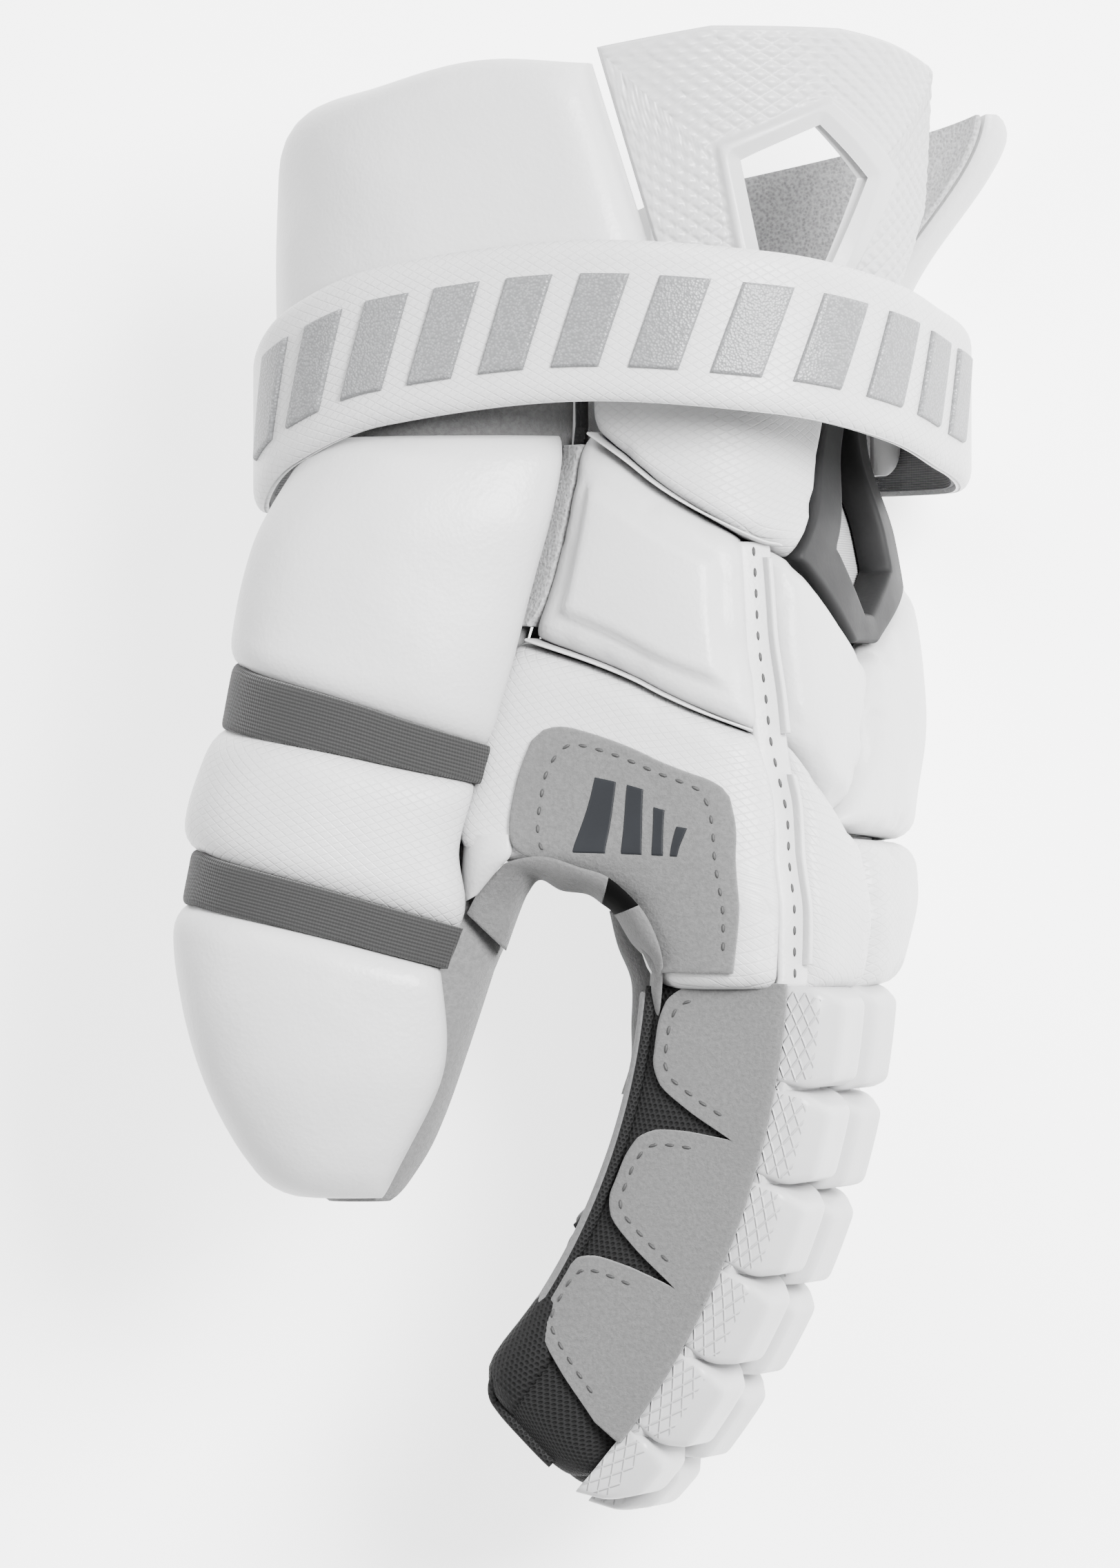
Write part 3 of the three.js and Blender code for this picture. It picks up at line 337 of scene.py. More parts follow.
def on_cuff(turn, at, lift):
    return cuff_any(turn, CUFF_BASE_Y + np.asarray(at) * CUFF_LENGTH, lift)


def on_leaning_panel(turn, at, lift):
    points = on_cuff(turn, at, lift)
    share = np.clip((np.asarray(at) - LEAN_FROM) / (LEAN_TO - LEAN_FROM), 0, 1)
    points[..., 0] += (LEAN_IN + LEAN_OUT) * eased(share) - LEAN_IN
    return points


def on_strap(turn, at, lift):
    turn = np.asarray(turn, float)
    middle = STRAP_Y + STRAP_RISE * column(STRAP_PATH, "rise", turn % 1.0)
    return strap_any(turn, middle + np.asarray(at) * STRAP_WIDTH, lift)


class Finger:
    """A section swept along an arc that curls towards the palm."""

    def __init__(self, index):
        row = FINGERS[index]
        self.index = index
        self.length = row["length"]
        self.block = row["block"]
        self.turn_start = math.radians(row["start"])
        self.turn_rate = math.radians(row["end"] - row["start"]) / self.length
        self.depth = FINGER_DEPTH * row["girth"] / 2
        self.root_x = HAND_DEPTH * (HAND_SECTIONS["palm"][0] + row["root_x"] - ROOT_OFFSET)
        self.root_y = KNUCKLE_Y - ROOT_GAP - self.depth * math.sin(self.turn_start)
        self.middle_z = HAND_LOW + HAND_WIDTH - FIRST_FINGER_DROP - index * FINGER_PITCH
        half = FINGER_WIDTH / 2
        self.unit = wound(lambda _: self.section(half), 0, 1)

    def section(self, half):
        x, z, _, share = rounded_section(0, 0, self.depth, half, FINGER_SQUARENESS)
        return x, z, share

    def place(self, along, across, high):
        turn = self.turn_start + self.turn_rate * along
        x = self.root_x + (np.cos(turn) - math.cos(self.turn_start)) / self.turn_rate + across * np.cos(turn)
        y = self.root_y - (np.sin(turn) - math.sin(self.turn_start)) / self.turn_rate - across * np.sin(turn)
        z = self.middle_z + high
        return np.stack(np.broadcast_arrays(x, y, z), axis=-1)

    def rounding(self, first, last, count):
        """Shares of the length, close together where the tip rounds off."""
        return 1 - FINGER_ROUNDING / self.length * (1 - np.sin(np.linspace(first, last, count)))

    def surface(self, turn, at, lift):
        along = np.asarray(at, float) * self.length
        left = np.clip((self.length - along) / FINGER_ROUNDING, 0, 1)
        size = FINGER_TIP_SHARE + (1 - FINGER_TIP_SHARE) * np.sqrt(1 - (1 - left) ** 2)
        raw = self.unit(turn, 0.0 * along, lift)
        return self.place(along, raw[..., 0] * size, raw[..., 2] * size)


# The CAD part is centred over its origin: the same shift is found from the hand's own box.
CAD_HAND_ATS = [0, 0.07, 0.12, 0.155, 0.19, 0.235, 0.3, 0.405, 0.53, 0.66, 0.8, 1]
turns, ats = np.meshgrid(np.arange(24) / 24, CAD_HAND_ATS)
low_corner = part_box("hand_body")[0]
hand_left = on_hand(turns, ats, 0.0)[..., 0].min()
SHIFT = np.array([low_corner[0] * 1000 - hand_left, low_corner[1] * 1000 - KNUCKLE_Y, 0.0])


# Materials

SOCKETS = {
    "roughness": "Roughness", "specular": "Specular IOR Level", "metallic": "Metallic",
    "sheen": "Sheen Weight", "sheen_roughness": "Sheen Roughness",
}


def scaled(tone, factor):
    return tuple(c * factor for c in tone)


def grey(level):
    return (level, level, level)


class Material:
    """A material with one shader, and short calls for its nodes. Noise is laid out in the object's own metres."""

    def __init__(self, name, **settings):
        self.made = bpy.data.materials.new(name)
        self.made.use_nodes = True
        self.tree = self.made.node_tree
        self.tree.nodes.clear()
        output = self.new("ShaderNodeOutputMaterial")
        shader = self.new("ShaderNodeBsdfPrincipled")
        self.link(shader.outputs[0], output.inputs[0])
        self.shader = shader.inputs
        self.place = self.new("ShaderNodeTexCoord").outputs["Object"]
        for key, value in settings.items():
            self.shader[SOCKETS[key]].default_value = value

    def new(self, kind, **settings):
        node = self.tree.nodes.new(kind)
        for key, value in settings.items():
            setattr(node, key, value)
        return node

    def link(self, source, target):
        self.tree.links.new(source, target)

    def feed(self, socket, value):
        if hasattr(value, "is_linked"):
            self.link(value, socket)
        else:
            socket.default_value = value

    def math(self, operation, *values):
        node = self.new("ShaderNodeMath", operation=operation)
        for socket, value in zip(node.inputs, values):
            self.feed(socket, value)
        return node.outputs[0]

    def noise(self, scale, detail, roughness=0.5):
        node = self.new("ShaderNodeTexNoise")
        self.link(self.place, node.inputs["Vector"])
        node.inputs["Scale"].default_value = scale
        node.inputs["Detail"].default_value = detail
        node.inputs["Roughness"].default_value = roughness
        return node.outputs["Fac"]

    def voronoi(self, scale):
        node = self.new("ShaderNodeTexVoronoi")
        self.link(self.place, node.inputs["Vector"])
        node.inputs["Scale"].default_value = scale
        return node.outputs["Distance"]

    def ramp(self, value, low, high, start=0.0, end=1.0):
        node = self.new("ShaderNodeMapRange", interpolation_type="SMOOTHSTEP")
        for socket, number in zip(node.inputs, (value, low, high, start, end)):
            self.feed(socket, number)
        return node.outputs[0]

    def mix(self, factor, a, b):
        """Blend from a to b, each a tone or a socket."""
        node = self.new("ShaderNodeMix", data_type="RGBA")
        self.feed(node.inputs[0], factor)
        for socket, tone in ((node.inputs[6], a), (node.inputs[7], b)):
            self.feed(socket, (*tone, 1) if isinstance(tone, tuple) else tone)
        return node.outputs[2]

    def bump(self, height, strength, distance, normal=None):
        node = self.new("ShaderNodeBump")
        node.inputs["Strength"].default_value = strength
        node.inputs["Distance"].default_value = distance
        self.link(height, node.inputs["Height"])
        if normal is not None:
            self.link(normal, node.inputs["Normal"])
        return node.outputs[0]

    def flat_place(self):
        """U and V of the mesh, in centimetres."""
        split = self.new("ShaderNodeSeparateXYZ")
        self.link(self.new("ShaderNodeTexCoord").outputs["UV"], split.inputs[0])
        return split.outputs[0], split.outputs[1]

    def finish(self, colour, normal=None, roughness=None):
        for socket, source in (("Base Color", colour), ("Normal", normal), ("Roughness", roughness)):
            if source is not None:
                self.link(source, self.shader[socket])
        return self.made


def diamonds(nodes, pitch_across, pitch_along, groove):
    """Height of a field of diamonds, 0 in the grooves and 1 on the diamonds. Pitches are in centimetres."""
    u, v = nodes.flat_place()
    a = nodes.math("MULTIPLY", u, 1 / pitch_across)
    b = nodes.math("MULTIPLY", v, 1 / pitch_along)
    lines = []
    for operation in ("ADD", "SUBTRACT"):
        share = nodes.math("FRACT", nodes.math(operation, a, b))
        lines.append(nodes.math("ABSOLUTE", nodes.math("SUBTRACT", share, 0.5)))
    return nodes.ramp(nodes.math("MAXIMUM", *lines), 0.5 - groove, 0.5, 1.0, 0.0)


def leather(name, tone, roughness=0.42, emboss=None, grain=1.0):
    """Leather or a moulded skin: pores, faint folds and, where asked for, embossed diamonds with painted shade in
    their grooves.
    """
    nodes = Material(name, specular=0.4, sheen=0.05)
    colour = nodes.mix(nodes.ramp(nodes.noise(22, 3), 0.35, 0.68), scaled(tone, 0.955), tone)
    normal = nodes.bump(nodes.voronoi(900), 0.10 * grain, 0.0006)
    normal = nodes.bump(nodes.noise(520, 4), 0.12 * grain, 0.0008, normal)
    normal = nodes.bump(nodes.noise(60, 2), 0.10, 0.004, normal)
    if emboss:
        field = diamonds(nodes, *emboss["pitch"], emboss["groove"])
        normal = nodes.bump(field, emboss["strength"], emboss["depth"], normal)
        # Painted shade: the colour darkens in the grooves between the diamonds.
        darker = nodes.math("MULTIPLY", nodes.math("SUBTRACT", 1.0, field), emboss["tint"])
        colour = nodes.mix(darker, colour, scaled(tone, 0.6))
    gloss = nodes.ramp(nodes.noise(35, 2), 0.3, 0.7, roughness - 0.05, roughness + 0.06)
    return nodes.finish(colour, normal, gloss)


def suede(name, tone):
    nodes = Material(name, roughness=0.95, specular=0.15, sheen=0.25, sheen_roughness=0.5)
    fuzz = nodes.noise(900, 5, 0.7)
    cloud = nodes.noise(70, 4, 0.6)
    fine = nodes.mix(nodes.ramp(fuzz, 0.3, 0.7), scaled(tone, 0.80), scaled(tone, 1.10))
    colour = nodes.mix(nodes.ramp(cloud, 0.35, 0.75, 0.0, 0.35), fine, scaled(tone, 0.88))
    return nodes.finish(colour, nodes.bump(cloud, 0.18, 0.002, nodes.bump(fuzz, 0.55, 0.0011)))


def hole_mesh(name, tone, pitch):
    """Fabric with staggered holes. pitch is in centimetres."""
    nodes = Material(name, roughness=0.8, specular=0.25)
    hole = grey(0.0006)
    u, v = nodes.flat_place()
    u = nodes.math("MULTIPLY", u, 1 / pitch)
    v = nodes.math("MULTIPLY", v, 1 / (pitch * math.sqrt(3)))
    reaches = []
    for offset in (0.0, 0.5):
        parts = []
        for value, stretch in ((u, 1.0), (v, math.sqrt(3))):
            share = nodes.math("FRACT", nodes.math("ADD", value, offset))
            centred = nodes.math("MULTIPLY", nodes.math("SUBTRACT", share, 0.5), stretch)
            parts.append(nodes.math("MULTIPLY", centred, centred))
        reaches.append(nodes.math("SQRT", nodes.math("ADD", *parts)))
    height = nodes.ramp(nodes.math("MINIMUM", *reaches), 0.14, 0.42)
    speckle = nodes.ramp(nodes.noise(1500, 3, 0.7), 0.3, 0.7, 0.0, 0.25)
    return nodes.finish(nodes.mix(speckle, nodes.mix(height, hole, tone), hole), nodes.bump(height, 0.9, 0.0006))


def ribbed(name, tone, pitch):
    """Woven elastic with fine ribs. pitch is in centimetres."""
    nodes = Material(name, roughness=0.85, specular=0.2, sheen=0.15)
    u, v = nodes.flat_place()
    wave = nodes.math("SINE", nodes.math("MULTIPLY", v, 2 * math.pi / pitch))
    cross = nodes.math("SINE", nodes.math("MULTIPLY", u, 2 * math.pi / (pitch * 0.8)))
    height = nodes.math("ADD", nodes.math("MULTIPLY", wave, 0.5), nodes.math("MULTIPLY", cross, 0.22))
    # Painted shade in the troughs of the ribs and painted light on their crests, following the height of the bump.
    colour = nodes.mix(nodes.ramp(height, -0.6, 0.6), scaled(tone, 0.62), scaled(tone, 1.15))
    speckle = nodes.ramp(nodes.noise(1300, 4, 0.7), 0.35, 0.7, 0.0, 0.3)
    return nodes.finish(nodes.mix(speckle, colour, scaled(tone, 0.6)), nodes.bump(height, 0.6, 0.0004))


def fleece(name, tone):
    nodes = Material(name, roughness=1.0, specular=0.1, sheen=0.4)
    tufts = nodes.noise(1300, 5, 0.75)
    height = nodes.math("ADD", tufts, nodes.math("MULTIPLY", nodes.voronoi(1100), 0.6))
    # Painted shade between the tufts and painted light on their tops, following the height of the bump.
    colour = nodes.mix(nodes.ramp(height, 0.45, 1.1), scaled(tone, 0.6), scaled(tone, 1.15))
    return nodes.finish(colour, nodes.bump(height, 0.9, 0.0006))


def plastic(name, tone, roughness, specular=0.5):
    nodes = Material(name, specular=specular)
    cloud = nodes.noise(60, 3)
    colour = nodes.mix(nodes.ramp(cloud, 0.3, 0.7), scaled(tone, 0.92), tone)
    gloss = nodes.ramp(cloud, 0.3, 0.7, roughness - 0.05, roughness + 0.08)
    return nodes.finish(colour, nodes.bump(nodes.noise(900, 3), 0.08, 0.0004), gloss)


def metallic_print(name, tone):
    nodes = Material(name, metallic=0.15, roughness=0.42)
    flakes = nodes.voronoi(1600)
    colour = nodes.mix(nodes.ramp(flakes, 0.0, 0.7), scaled(tone, 1.2), scaled(tone, 0.72))
    return nodes.finish(colour, nodes.bump(flakes, 0.35, 0.0004))


WHITE = (0.5, 0.5, 0.503)
MOULD_WHITE = (0.4, 0.4, 0.404)
# The last number of each emboss sets how far painted shade darkens its grooves.
FINE_DIAMONDS = {"pitch": (0.34, 0.21), "groove": 0.13, "strength": 0.32, "depth": 0.0006, "tint": 0.07}
BOLD_DIAMONDS = {"pitch": (0.30, 0.46), "groove": 0.15, "strength": 0.6, "depth": 0.0008, "tint": 0.10}

white_leather = leather("white_leather", WHITE)
diamond_leather = leather("diamond_leather", WHITE, emboss=FINE_DIAMONDS)
moulded_white = leather("moulded_white", MOULD_WHITE, roughness=0.36, grain=0.4)
moulded_diamonds = leather("moulded_diamonds", MOULD_WHITE, roughness=0.38, emboss=BOLD_DIAMONDS, grain=0.4)
plate_white = leather("plate_white", MOULD_WHITE, roughness=0.38, grain=0.3)
grey_suede = suede("grey_suede", grey(0.145))
light_suede = suede("light_suede", grey(0.108))
band_suede = suede("band_suede", grey(0.115))
# A darker copy of the palm suede: painted shade on the palm fold.
fold_suede = suede("fold_suede", grey(0.055))
palm_suede = suede("palm_suede", (0.125, 0.125, 0.127))
dark_mesh = hole_mesh("dark_mesh", (0.006, 0.006, 0.0062), 0.145)
piping_mesh = hole_mesh("piping_mesh", (0.008, 0.008, 0.0082), 0.12)
grey_elastic = ribbed("grey_elastic", grey(0.027), 0.085)
grey_tricot = ribbed("grey_tricot", (0.15, 0.15, 0.153), 0.06)
grey_fleece = fleece("grey_fleece", (0.36, 0.36, 0.364))
light_lining = ribbed("light_lining", (0.36, 0.36, 0.364), 0.06)
dark_plastic = plastic("dark_plastic", (0.012, 0.012, 0.0124), 0.6, specular=0.2)
black_cloth = plastic("black_cloth", grey(0.002), 0.9, specular=0.05)
silver_print = metallic_print("silver_print", (0.18, 0.183, 0.187))
dark_thread = plastic("dark_thread", grey(0.03), 0.6)
dark_print = plastic("dark_print", (0.012, 0.013, 0.015), 0.5, specular=0.12)


# Meshes

def mesh_object(name, layers, faces, material, uv=None, turned=True, slot=None, replaces=()):
    """A piece from layers of points in millimetres, before the shift.

    uv is in centimetres, a row for each point or for each point of one layer. Where turned, all the faces of
    a closed piece are turned outwards.
    """
    points = np.concatenate([np.asarray(layer, float).reshape(-1, 3) for layer in layers])
    mesh = bpy.data.meshes.new(name)
    mesh.from_pydata(((points + SHIFT) / 1000).tolist(), [], [tuple(int(i) for i in face) for face in faces])
    if uv is not None:
        flat = np.resize(np.asarray(uv, float).reshape(-1, 2), (len(points), 2))
        corner_points = np.empty(len(mesh.loops), dtype=np.int64)
        mesh.loops.foreach_get("vertex_index", corner_points)
        mesh.uv_layers.new(name="UVMap").data.foreach_set("uv", flat[corner_points].ravel())
    mesh.materials.append(material)
    mesh.shade_smooth()
    mesh.update()
    piece = bpy.data.objects.new(name, mesh)
    bpy.context.scene.collection.objects.link(piece)
    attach(piece, "root")
    if replaces:
        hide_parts(*replaces)
    if turned:
        outward(mesh)
    return piece


def outward(mesh):
    shape = bmesh.new()
    shape.from_mesh(mesh)
    if shape.calc_volume(signed=True) < 0:
        bmesh.ops.reverse_faces(shape, faces=shape.faces)
        shape.to_mesh(mesh)
    shape.free()


def grid_faces(rows, columns, offset=0, closed=False, flipped=False):
    runs = np.arange(rows - 1), np.arange(columns if closed else columns - 1)
    i, j = np.meshgrid(*runs, indexing="ij")
    k = (j + 1) % columns
    a = i * columns + j
    b = i * columns + k
    c = (i + 1) * columns + k
    d = (i + 1) * columns + j
    quads = np.stack([a, b, c, d] if not flipped else [a, d, c, b], axis=-1).reshape(-1, 4) + offset
    return quads.tolist()


def layered_faces(rows, columns, closed=False):
    """Faces of two layers of the same grid, the lower one turned over."""
    return grid_faces(rows, columns, 0, closed) + grid_faces(rows, columns, rows * columns, closed, flipped=True)


def shell_faces(rows, columns):
    """Faces of two layers of an open grid and of the wall between their outlines."""
    count = rows * columns
    ring = [*range(columns), *[i * columns + columns - 1 for i in range(1, rows)]]
    ring += [(rows - 1) * columns + j for j in range(columns - 2, -1, -1)]
    ring += [i * columns for i in range(rows - 2, 0, -1)]
    walls = [[b, a, a + count, b + count] for a, b in zip(ring, ring[1:] + ring[:1])]
    return layered_faces(rows, columns) + walls


def rim_faces(rows, columns, row, reverse):
    """Faces between a row of one layer and the same row of the other, where the rows run all the way round."""
    count, start = rows * columns, row * columns
    pairs = [(start + j, start + (j + 1) % columns) for j in range(columns)]
    return [[a, b, b + count, a + count][::-1 if reverse else 1] for a, b in pairs]


def steps_along(points, axis=0):
    return np.linalg.norm(np.diff(points, axis=axis), axis=-1)


def run_along(path):
    """Distance along a path, at each of its points."""
    return np.concatenate([[0], np.cumsum(steps_along(path))])


def on_rail(rail, share):
    """Points of a rail, its control points evenly spaced along it, on a smooth curve that runs on past its ends."""
    points = np.asarray(rail, float)
    share = np.asarray(share, float)
    last = len(points) - 1
    place = share * last
    i = np.clip(np.floor(place).astype(int), 0, last - 1)
    f = (place - i)[:, None]
    if last == 1:
        return points[0] + (points[1] - points[0]) * f
    tangents = np.zeros_like(points)
    tangents[1:-1] = (points[2:] - points[:-2]) / 2
    tangents[0] = points[1] - points[0]
    tangents[-1] = points[-1] - points[-2]
    inside = np.clip(f, 0, 1)
    beyond = f - inside
    a, b, ta, tb = points[i], points[i + 1], tangents[i], tangents[i + 1]
    h00 = 2 * inside ** 3 - 3 * inside ** 2 + 1
    h10 = inside ** 3 - 2 * inside ** 2 + inside
    h01 = -2 * inside ** 3 + 3 * inside ** 2
    h11 = inside ** 3 - inside ** 2
    end = np.where(inside < 0.5, ta, tb)
    return h00 * a + h10 * ta + h01 * b + h11 * tb + beyond * end


def edge_shares(length, radius, step, grow):
    """Shares along a side: dense where its ends round off, even between them, and grown past both ends."""
    full = length + 2 * grow
    radius = min(radius, full * 0.45)
    curve = radius * (1 - np.cos(np.linspace(0, math.pi / 2, 7)))[:-1]
    inner = full - 2 * radius
    even = radius + inner * np.linspace(0, 1, max(2, int(round(inner / step)) + 1))
    runs = np.concatenate([curve, even, (full - curve)[::-1]])
    return (runs - grow) / length


def wavy(points, scale, seed):
    """Smooth noise, one value for each point."""
    flat = points.reshape(-1, 3) / scale + seed * 7.31
    return np.array([noise.noise(Vector(p)) for p in flat]).reshape(points.shape[:-1])


DENT_SIZE = 21.0
DENT_HEIGHT = 1.6
DENT_MARGIN = 6
PUCKER_SIZE = 5.5
PUCKER_DEPTH = 3.2
PUCKER_INSET = 2.6
PUCKER_WIDTH = 3.2
EDGE_POWER = 2.3
ROLL_INSIDE = 1.0 - 1.4 / 9


def between_rails(rails, fs, gs):
    """Grids of turn and at, fs along the rails and gs from the first rail to the last."""
    curves = np.stack([on_rail(rail, fs) for rail in rails])
    place = gs * (len(rails) - 1)
    i = np.clip(np.floor(place).astype(int), 0, len(rails) - 2)
    g = (place - i)[:, None, None]
    mixed = curves[i] * (1 - g) + curves[i + 1] * g
    return mixed[..., 0].T, mixed[..., 1].T


def runs_both_ways(points, axis):
    """Distances of the points of a grid from its first and last row or column, measured along it."""
    total = np.cumsum(steps_along(points, axis), axis=axis)
    forward = np.concatenate([np.zeros_like(np.take(total, [0], axis=axis)), total], axis=axis)
    return forward, np.take(forward, [-1], axis=axis) - forward


def pad(name, surface, rails, lift, thickness, material, radius=8.0, crown=1.4, edge=0.16, grow=0.5, step=1.5,
        dents=0.3, puckers=0.0, plateau=None, rests_on=None, slot="leather", replaces=(), fill=0.8):
    """Closed puffed pad over the patch of a surface between rails of [turn, at] points."""
    probe = np.linspace(0, 1, 33)
    rough = surface(*between_rails(rails, probe, probe), lift + thickness)
    length = steps_along(rough, 0).sum(axis=0)[8:25].mean()
    width = steps_along(rough, 1).sum(axis=1)[8:25].mean()
    fs = edge_shares(length, radius, step, grow)
    gs = edge_shares(width, radius, step, grow)
    turn, at = between_rails(rails, fs, gs)
    flat = surface(turn, at, lift + thickness * 0.7)
    down, up = runs_both_ways(flat, 0)
    right, left = runs_both_ways(flat, 1)
    profile = 1.0
    for distance in (down, up, right, left):
        share = np.clip(distance / radius, 0, 1)
        profile = profile * (1 - (1 - share) ** EDGE_POWER) ** (1 / EDGE_POWER)
    nearest = np.minimum(np.minimum(down, up), np.minimum(right, left))
    f = np.clip((fs - fs[0]) / (fs[-1] - fs[0]), 0, 1)[:, None]
    g = np.clip((gs - gs[0]) / (gs[-1] - gs[0]), 0, 1)[None, :]
    height = thickness * (edge + (1 - edge) * profile) + crown * 16 * f * (1 - f) * g * (1 - g)
    if plateau:
        inset, raise_by, ramp_width = plateau
        height = height + raise_by * eased(np.clip((nearest - inset) / ramp_width, 0, 1))
    if dents:
        dent = wavy(flat, DENT_SIZE, len(name)) * np.clip(nearest / DENT_MARGIN, 0, 1)
        height = height + dents * DENT_HEIGHT * dent
    if puckers:
        ripple = np.clip(wavy(flat, PUCKER_SIZE, len(name) + 3), 0, 1) ** 1.5
        height = height - puckers * PUCKER_DEPTH * ripple * np.exp(-((nearest - PUCKER_INSET) / PUCKER_WIDTH) ** 2)
    top = surface(turn, at, lift + height)
    uv = np.stack([right, down], axis=-1) / 10
    piece = mesh_object(name, [top, surface(turn, at, lift)], shell_faces(*turn.shape), material, uv=uv, slot=slot,
                        replaces=replaces)
    if rests_on:
        declare_sheet(top, rests_on)
    return piece


def trim(*shape, **settings):
    """Pad without a crown or dents, which ends where its rails do."""
    return pad(*shape, **{"crown": 0.0, "grow": 0.0, "step": 1.2, "dents": 0.0, **settings})


def declare_sheet(top, rests_on):
    """Measures a sewn sheet by the grid of its upper face: its greatest width and length, which are not kept."""
    width = steps_along(top, 1).sum(axis=1).max() / 1000
    length = steps_along(top, 0).sum(axis=0).max() / 1000
    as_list(rests_on)


def tube(name, path, radius, material, sides, slot):
    """Round cord along a path of points in millimetres, closed at both ends."""
    ahead = np.gradient(path, axis=0)
    ahead /= np.linalg.norm(ahead, axis=1)[:, None] + 1e-9
    normal = np.cross(ahead, [0.3, 0.2, 0.9])
    normal /= np.linalg.norm(normal, axis=1)[:, None] + 1e-9
    side = np.cross(ahead, normal)
    angles = 2 * math.pi * np.arange(sides) / sides
    ring = normal[:, None] * np.cos(angles)[None, :, None] + side[:, None] * np.sin(angles)[None, :, None]
    points = path[:, None] + ring * radius
    rows = len(path)
    faces = grid_faces(rows, sides, closed=True)
    faces += [list(range(sides))[::-1], [(rows - 1) * sides + j for j in range(sides)]]
    u, v = np.broadcast_arrays(angles[None] * radius / 10, run_along(path)[:, None] / 10)
    return mesh_object(name, [points], faces, material, uv=np.stack([u, v], axis=-1), slot=slot)


def stitches(name, paths, length=2.6, pitch=3.6, radius=0.42, slot="suede"):
    """Rows of short stitches: each is a small spindle along a path of points in millimetres."""
    rings = []
    faces = []
    angles = np.arange(6)[:, None] * math.pi / 3
    for path in paths:
        run = run_along(path)
        count = max(1, int(run[-1] / pitch))
        for i in range(count):
            start = (i + 0.15) * run[-1] / count
            marks = np.linspace(start, start + length, 5)
            if marks[-1] > run[-1]:
                continue
            spots = np.stack([np.interp(marks, run, path[:, k]) for k in range(3)], axis=-1)
            ahead = spots[-1] - spots[0]
            ahead /= np.linalg.norm(ahead) + 1e-9
            normal = np.cross(ahead, [0.31, 0.2, 0.93])
            normal /= np.linalg.norm(normal) + 1e-9
            ring = (normal * np.cos(angles) + np.cross(ahead, normal) * np.sin(angles)) * radius
            base = 30 * (len(rings) // 5)
            rings += [spot + ring * size for spot, size in zip(spots, (0.35, 0.95, 1.0, 0.95, 0.35))]
            faces += grid_faces(5, 6, base, closed=True)
            faces += [[base + k for k in range(5, -1, -1)], [base + 24 + k for k in range(6)]]
    return mesh_object(name, rings, faces, dark_thread, turned=False, slot=slot)


def sleeve(name, surface, ats, columns, wall, material, slot, replaces, tipped=False):
    """Open tube with a wall, closed at its last end where tipped."""
    turns, at_grid = np.meshgrid(np.arange(columns) / columns, ats)
    outer = surface(turns, at_grid, 0.0)
    u = np.cumsum(steps_along(np.concatenate([outer, outer[:, :1]], axis=1), 1), axis=1) / 10
    v = np.cumsum(np.concatenate([np.zeros((1, columns)), steps_along(outer)]), axis=0) / 10
    rows = len(ats)
    faces = layered_faces(rows, columns, closed=True) + rim_faces(rows, columns, 0, True)
    if tipped:
        last = [(rows - 1) * columns + j for j in range(columns)]
        faces += [last, [i + rows * columns for i in last][::-1]]
    else:
        faces += rim_faces(rows, columns, rows - 1, False)
    return mesh_object(name, [outer, surface(turns, at_grid, -wall)], faces, material, uv=np.stack([u, v], axis=-1),
                       slot=slot, replaces=replaces)


def rolled_edge(name, outer, inner, first, last, count, material, sweep=2.3, slot="suede"):
    """Piece rolled over from one edge to another, from one share of them to another.

    Each row of an edge is across, up and towards the eye, in millimetres.
    """
    far, near = (on_rail(rail, np.linspace(first, last, count)) for rail in (outer, inner))
    angles = np.linspace(0, sweep, 18)
    points = []
    for size in (1.0, ROLL_INSIDE):
        bend = np.stack([np.sin(angles) * size, np.sin(angles) * size, 1 - np.cos(angles) * size], axis=-1)
        points.append(far[:, None] + (near - far)[:, None] * bend[None])
    points = np.array(points)
    placed = points @ np.array([ACROSS, UP, TOWARD])
    return mesh_object(name, placed, shell_faces(count, len(angles)), material, uv=points[..., :2] / 10, slot=slot)


# Hand: the inner tube that shows between the pads
sleeve("hand_tube", on_hand, np.linspace(0, 1, 90), 120, 1.8, light_lining, "lining", ["hand_body"])

